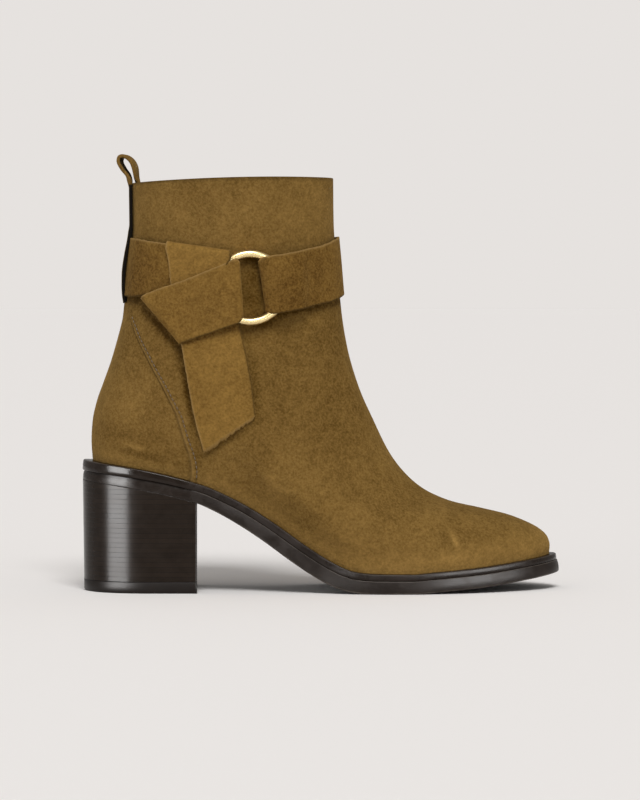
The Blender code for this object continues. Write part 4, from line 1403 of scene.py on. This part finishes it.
# top x, top z, low x, low z, lift, crown, rise of the low edge, tone
RING_FOLD = np.array((
    (-5.0, 177.4, -5.5, 146.9, 1.0, 0.0, 0.0, -0.22),
    (-18.0, 174.4, -16.0, 145.0, 1.0, 0.0, 0.0, -0.22),
    (-30.4, 171.2, -26.4, 144.4, 1.0, 0.6, 0.0, -0.22),
    (-34.2, 170.9, -30.4, 144.8, 3.7, 0.5, 0.0, -0.22),
    (-32.0, 172.8, -27.8, 143.6, 6.5, 0.6, 0.0, -0.22),
    (-23.0, 174.4, -21.0, 144.6, 6.9, 1.2, 0.0, -0.22),
    (-16.5, 175.6, -15.0, 145.8, 6.3, 1.3, 0.0, -0.22),
    (-9.0, 177.2, -8.4, 147.2, 3.4, 0.2, 0.0, -0.22),
    (-2.0, 178.6, -2.0, 148.8, 2.5, 0.0, 0.0, -0.22),
))
KNOT = np.array((
    (-88.0, 180.9, -88.0, 153.0, 2.5, 0.0, 0.0, -0.14),
    (-76.0, 179.0, -76.0, 151.2, 2.5, 0.0, 0.0, -0.14),
    (-62.0, 176.0, -62.0, 148.0, 2.5, 0.0, 0.0, -0.14),
    (-52.0, 172.9, -52.0, 145.2, 2.3, 0.2, 0.0, -0.14),
    (-48.0, 169.4, -47.4, 144.2, 1.1, 1.1, 0.0, -0.1),
    (-43.8, 169.4, -42.2, 143.6, 4.5, 0.0, 0.0, 0.16),
    (-45.2, 171.7, -43.2, 140.2, 7.1, 0.7, 0.0, 0.16),
    (-54.0, 167.9, -50.4, 136.7, 7.2, 1.4, 0.0, 0.13),
    (-68.0, 161.7, -58.4, 133.6, 6.0, 0.3, 0.0, 0.13),
    (-82.0, 156.2, -66.4, 130.7, 5.5, 0.0, 0.0, 0.16),
    (-88.4, 153.1, -70.6, 129.2, 5.5, 0.0, 0.0, 0.16),
    (-91.2, 151.6, -72.8, 128.2, 3.2, 0.0, 0.0, 0.16),
    (-89.4, 154.6, -70.0, 132.4, 1.0, 0.0, 0.0, 0.16),
    (-85.6, 166.6, -60.4, 152.6, 1.0, 0.0, 0.0, 0.16),
    (-80.2, 177.0, -49.6, 172.0, 1.0, 0.0, 1.5, 0.26),
    (-79.2, 180.3, -48.0, 175.6, 2.5, 0.0, 3.0, 0.28),
    (-79.0, 177.0, -47.8, 172.6, 4.0, 0.0, 3.6, 0.28),
    (-77.8, 170.0, -51.0, 166.6, 4.0, 0.0, 3.4, 0.26),
    (-77.0, 159.7, -57.0, 157.0, 4.0, 0.0, 1.4, 0.22),
    (-75.4, 145.4, -54.4, 147.4, 4.0, 0.0, 0.0, 0.16),
    # this row's low tone is painted shade where the tail comes out from under the band
    (-72.4, 129.0, -43.6, 137.6, 4.0, 0.0, 0.0, -0.4),
    (-71.9, 125.5, -42.7, 133.7, 3.76, 0.09, 0.0, 0.17),
    (-70.0, 113.0, -39.6, 120.0, 2.9, 0.4, 0.0, 0.19),
    (-66.9, 94.0, -36.8, 104.0, 1.8, 0.4, 0.0, 0.21),
    (-61.2, 72.0, -35.3, 90.9, 1.0, 0.2, 0.0, 0.21),
))
print("strap rows:", len(RING_FOLD) + len(BELT) + len(KNOT))


# %% Strap surface
EDGE_REACH = 0.5
STRAP_STEP = 1.0
STRAP_SEED = 4


def folded_rows(table):
    """Rows of the strap on the outer side: each table column a fair curve over the distance
    that the middle travels, then both edges joined straight and lifted off the upper. The
    tones of the nap are carried along in the same way."""
    middle = np.column_stack([(table[:, 0:2] + table[:, 2:4]) / 2.0, table[:, 4]])
    run = lengths_along(middle)
    at = np.linspace(0.0, run[-1], int(run[-1] / 1.2))
    fine = fair(run, table, at)
    top_x, top_z, low_x, low_z, lift, crown, rise, tone = (fine[:, k, None] for k in range(8))
    x = top_x * (1.0 - ACROSS) + low_x * ACROSS
    z = top_z * (1.0 - ACROSS) + low_z * ACROSS
    angle, share = place_at_side(x, z)
    rows = on_upper(angle, share, lift + crown * 4.0 * ACROSS * (1.0 - ACROSS) + rise * ACROSS**3)
    return rows, tone[:, 0]


def belt_rows():
    """Rows round the shaft at a height, lifted off it, from angle to angle."""
    at = np.linspace(BELT[0, 0], BELT[-1, 0], 120)
    _, height, lift = fair(BELT[:, 0], BELT, at).T
    angle = np.broadcast_to(np.radians(at)[:, None], (len(at), len(ACROSS)))
    share = share_at_height(angle, height[:, None] + (0.5 - ACROSS) * STRAP_WIDTH)
    rows = on_upper(angle, share, np.broadcast_to(lift[:, None], angle.shape))
    return rows, np.full(len(at), BELT_TONE)


def even_rows(rows, tones, step):
    """The same strip drawn again with rows an even step apart."""
    run = lengths_along(rows[:, rows.shape[1] // 2])
    at = np.linspace(0.0, run[-1], int(run[-1] / step))
    return fair(run, rows, at), np.interp(at, run, tones)


def ribbon(middle, thickness):
    """A strip with cut edges: each row's points moved out by half the thickness, a squared
    half circle round one edge, the points moved in, and the same round the other edge."""
    half = np.broadcast_to(np.asarray(thickness, dtype=float), len(middle))[:, None, None] / 2.0
    along = np.gradient(middle, axis=0)
    across = unit(np.gradient(middle, axis=1))
    out = unit(np.cross(along, across))
    width = np.linalg.norm(middle[:, -1] - middle[:, 0], axis=-1)[:, None, None]
    centre = middle.mean(axis=1, keepdims=True)
    middle = centre + (middle - centre) * (1.0 - 2.0 * EDGE_REACH * half / width)
    turn = np.linspace(0.0, np.pi, 5)[1:-1][None, :, None]
    over = np.sign(np.cos(turn)) * np.abs(np.cos(turn)) ** 0.5
    past = EDGE_REACH * np.sin(turn) ** 0.5
    far = middle[:, -1:] + half * (out[:, -1:] * over + across[:, -1:] * past)
    near = middle[:, :1] - half * (out[:, :1] * over + across[:, :1] * past)
    return np.concatenate([middle + half * out, far, (middle - half * out)[:, ::-1], near], axis=1)


def ribbon_ends(rows, wide):
    """Faces that close the two cut ends of a ribbon, pairing its upper and lower points."""
    count = 2 * wide + 6
    upper = np.arange(-1, wide + 1)
    lower = (2 * wide + 2 - upper) % count
    upper = upper % count
    faces = [(upper[k], upper[k + 1], lower[k + 1], lower[k]) for k in range(len(upper) - 1)]
    faces += [(wide, wide + 1, wide + 2), (count - 3, count - 2, count - 1)]
    last = (rows - 1) * count
    ends = [tuple(int(n) for n in reversed(face)) for face in faces]
    return ends + [tuple(int(n) + last for n in face) for face in faces]


def ragged_edges(middle, seed):
    """The cut edges wander by a tenth of a millimetre, and the last rows fray by half of one."""
    chance = np.random.default_rng(seed)
    across = unit(middle[:, -1] - middle[:, 0])
    for column, side in ((0, -1.0), (-1, 1.0)):
        middle[:, column] += side * across * chance.normal(0.0, 0.1, (len(middle), 1))
    along = unit(middle[-1] - middle[-3])
    fray = chance.normal(0.0, 0.45, (middle.shape[1], 1))
    middle[-1] += along * fray
    middle[-2] += along * fray * 0.6
    return middle


strap_runs = (folded_rows(RING_FOLD), belt_rows(), folded_rows(KNOT))
strap_rows, strap_tones = (np.concatenate(parts) for parts in zip(*strap_runs))
strap_middle, strap_tones = even_rows(strap_rows, strap_tones, STRAP_STEP)
strap_middle = ragged_edges(strap_middle, STRAP_SEED)
print("strap:", strap_middle.shape[0], "rows")

# %% Strap suede
EDGE_FADE = 0.5


def edge_marks(near, far, end, rows, wide, width):
    """A strength for each cut edge of a ribbon, fading out half a millimetre in: the edge that
    its rows start from, the edge that they end at, and the cut across its last rows."""
    inset = np.arange(wide) * width / (wide - 1.0)
    face = near * bell(inset, EDGE_FADE) + far * bell(inset[::-1], EDGE_FADE)
    marks = np.tile(np.concatenate([face, np.full(3, far), face[::-1], np.full(3, near)]), (rows, 1))
    marks[-2:] = end
    return marks


strap_grid = (len(strap_middle), len(ACROSS), STRAP_WIDTH)
strap_suede = suede_material("strap suede", (0.0635, 0.0263, 0.0028), (0.339, 0.1954, 0.0469))
strap_points = ribbon(strap_middle, STRAP_THICK)
add_grid(
    "knotted_strap",
    strap_points,
    strap_suede,
    rows_closed=False,
    slot="strap_suede",
    replaces=("strap",),
    marks={
        # pale cut edges, with a painted highlight on the upper edges only; the frayed cut end is paler too
        "raw_and_highlight": edge_marks(0.5, 0.0, 0.4, *strap_grid),
        # painted shade along the strap's lower edges; the cut end is darkened a little too
        "painted_shade": edge_marks(0.0, 0.6, 0.2, *strap_grid),
        # the strap's nap tones, with one knot row of painted shade
        "lay_and_painted_light": np.broadcast_to(strap_tones[:, None], strap_points.shape[:2]),
    },
    caps=ribbon_ends(len(strap_points), len(ACROSS)),
)

# %% [markdown]
# ## The ring
#
# A round wire bent into a ring and brazed shut: a circle carried round a circle. It stands a
# little off the upper, in the folds of the strap. The plating is pale gold and polished, with
# faint rubbing lines that only change how sharp the reflection is.

# %% Gold ring
RING_CENTRE = (-38.4, 157.1)
RING_RADIUS = 17.3
RING_WIRE = 2.0
RING_LIFT = 3.4
RING_TILT = -0.04


def ring_points(turns=160, sides=20):
    """Centre + spoke times (radius + wire cos) + outward times wire sin."""
    angle, share = place_at_side(np.array([RING_CENTRE[0]]), np.array([RING_CENTRE[1]]))
    centre = on_upper(angle, share, np.array([RING_LIFT]))[0]
    out = upper_normal(angle, share)[0]
    up = unit(np.array((0.0, 0.0, 1.0)) - out[2] * out)
    ahead = np.cross(up, out)
    ahead = unit(ahead * np.sign(ahead[0]) - RING_TILT * out)
    out = np.cross(ahead, up)
    round_ring = full_turn(turns)[:, None, None]
    round_wire = full_turn(sides)[None, :, None]
    spoke = np.cos(round_ring) * ahead + np.sin(round_ring) * up
    reach = RING_RADIUS + RING_WIRE * np.cos(round_wire)
    return centre + spoke * reach + out * RING_WIRE * np.sin(round_wire)


gold, gold_tree, gold_shader = new_material("pale gold plate")
gold_rub = spread(gold_tree, noise(gold_tree, 0.8, 4.0, 0.7), 0.3, 0.7, 0.26, 0.3)
gold_tone = mix_colour(gold_tree, noise(gold_tree, 5.0), (0.74, 0.56, 0.27), (0.81, 0.65, 0.34))
feed(gold_tree, gold_shader, {"Base Color": gold_tone, "Roughness": gold_rub, "Metallic": 1.0})
add_grid("gold_ring", ring_points(), gold, slot="pale_gold", replaces=("ring",))

# %% [markdown]
# ## The strip up the back
#
# A narrow suede strip with a black backing covers the back. It bulges over the strap as a
# keeper, lies flat to the collar, and turns over into a pull loop whose end goes down to the
# lining. It is the strap's ribbon again, with rows from two tables.

# %% Back strip
STRIP_HALF_ANGLE = 11.5
STRIP_HALF_WIDTH = 7.0
STRIP_BEND = 0.2
# height, lift, thickness
# over the strap the keeper is drawn thicker, so its black edge also fills the shaded gap beneath it: painted
# shade
STRIP = np.array((
    (149.2, -0.3, 2.2), (153.0, 0.95, 1.9), (158.0, 1.95, 1.6), (166.0, 2.4, 1.9), (174.0, 2.2, 1.7),
    (180.0, 1.75, 1.6), (185.0, 1.0, 2.3), (190.0, 0.7, 1.6), (208.5, 0.7, 1.6),
))
# x, z, bow across, share of the turn to one side
LOOP = np.array((
    (-99.9, 212.2, 1.0, 0.2), (-100.4, 214.7, 0.6, 0.6), (-102.9, 218.7, 0.2, 1.0),
    (-104.4, 222.6, 0.0, 1.0), (-103.9, 224.5, 0.0, 1.0), (-102.3, 225.1, 0.0, 1.0),
    (-99.6, 223.9, 0.0, 1.0), (-97.6, 221.6, 0.0, 1.0), (-96.7, 218.7, 0.2, 1.0),
    (-96.3, 214.1, 0.6, 0.6), (-95.6, 211.0, 1.0, 0.0),
))
LOOP_TURN = 0.14
LOOP_THICK = 1.8
STRIP_STEP = 0.5
LOOP_TAIL = np.array(((206.0, -3.3), (196.0, -3.3)))
STRIP_ACROSS = np.linspace(1.0, -1.0, 25)
STRIP_WIDE = len(STRIP_ACROSS)


def strip_on_back(z, lift):
    """Rows at heights on the back, lifted off it, across a fixed angle. The strip is stiff, so
    it takes only a part of the back's roundness."""
    angle = np.radians(STRIP_HALF_ANGLE) * np.broadcast_to(STRIP_ACROSS, (len(z), STRIP_WIDE))
    share = share_at_height(angle, z[:, None])
    rows = on_upper(angle, share, np.broadcast_to(lift[:, None], angle.shape))
    ridge = rows[:, STRIP_WIDE // 2, 0][:, None]
    rows[..., 0] = ridge + STRIP_BEND * (rows[..., 0] - ridge)
    return rows


def strip_rows():
    """Keeper and strip on the back, the loop above the collar turned a little to one side, and
    its end on the lining. Beside the rows: their thickness, and 1 where a row is in the loop."""
    x, z, bow, turned = (LOOP[:, k, None] for k in range(4))
    y = np.broadcast_to(-STRIP_ACROSS * STRIP_HALF_WIDTH, (len(LOOP), STRIP_WIDE))
    over = np.stack([x + bow * STRIP_ACROSS**2 + LOOP_TURN * turned * y, y, z + 0.0 * y], axis=-1)
    at, lift, thick = fair(STRIP[:, 0], STRIP, np.linspace(STRIP[0, 0], STRIP[-1, 0], 60)).T
    rows = np.concatenate([strip_on_back(at, lift), over, strip_on_back(*LOOP_TAIL.T)])
    thick = np.concatenate([thick, np.full(len(LOOP), LOOP_THICK), (1.0, 1.0)])
    loop = np.concatenate([0.0 * at, np.ones(len(LOOP)), (1.0, 1.0)])
    even, thick = even_rows(rows, thick, STRIP_STEP)
    return even, thick, even_rows(rows, loop, STRIP_STEP)[1]


def strip_tan(loop):
    """1 where suede shows and 0 where the backing does: on the back the suede stops short of
    the black edges, and in the loop it covers the edges and the outer face."""
    from_edge = 1.0 - np.abs(STRIP_ACROSS)
    flat = np.concatenate([np.clip((from_edge - 0.12) / 0.08, 0.0, 1.0), np.zeros(3 + STRIP_WIDE + 3)])
    turned = np.concatenate([np.ones(STRIP_WIDE + 3), np.zeros(STRIP_WIDE), np.ones(3)])
    return flat * (1.0 - loop[:, None]) + turned * loop[:, None]


def strip_material():
    """Suede where the mesh is marked tan, black elsewhere."""
    material = suede_material("black backed suede", *OLIVE)
    tree = material.node_tree
    shader = tree.nodes["Principled BSDF"]
    suede = shader.inputs["Base Color"].links[0].from_socket
    colour = mix_colour(tree, spread(tree, mark(tree, "tan"), 0.35, 0.65), (0.006, 0.005, 0.004), suede)
    tree.links.new(colour, shader.inputs["Base Color"])
    return material


strip_middle, strip_thick, strip_loop = strip_rows()
strip_points = ribbon(strip_middle, strip_thick)
add_grid(
    "back_strip_loop",
    strip_points,
    strip_material(),
    rows_closed=False,
    slot="black_backed_suede",
    replaces=("back_strip",),
    marks={"tan": strip_tan(strip_loop)},
    caps=ribbon_ends(len(strip_points), STRIP_WIDE),
)

# %% [markdown]
# ## The last update
#

# %% Last update
bpy.context.view_layer.update()
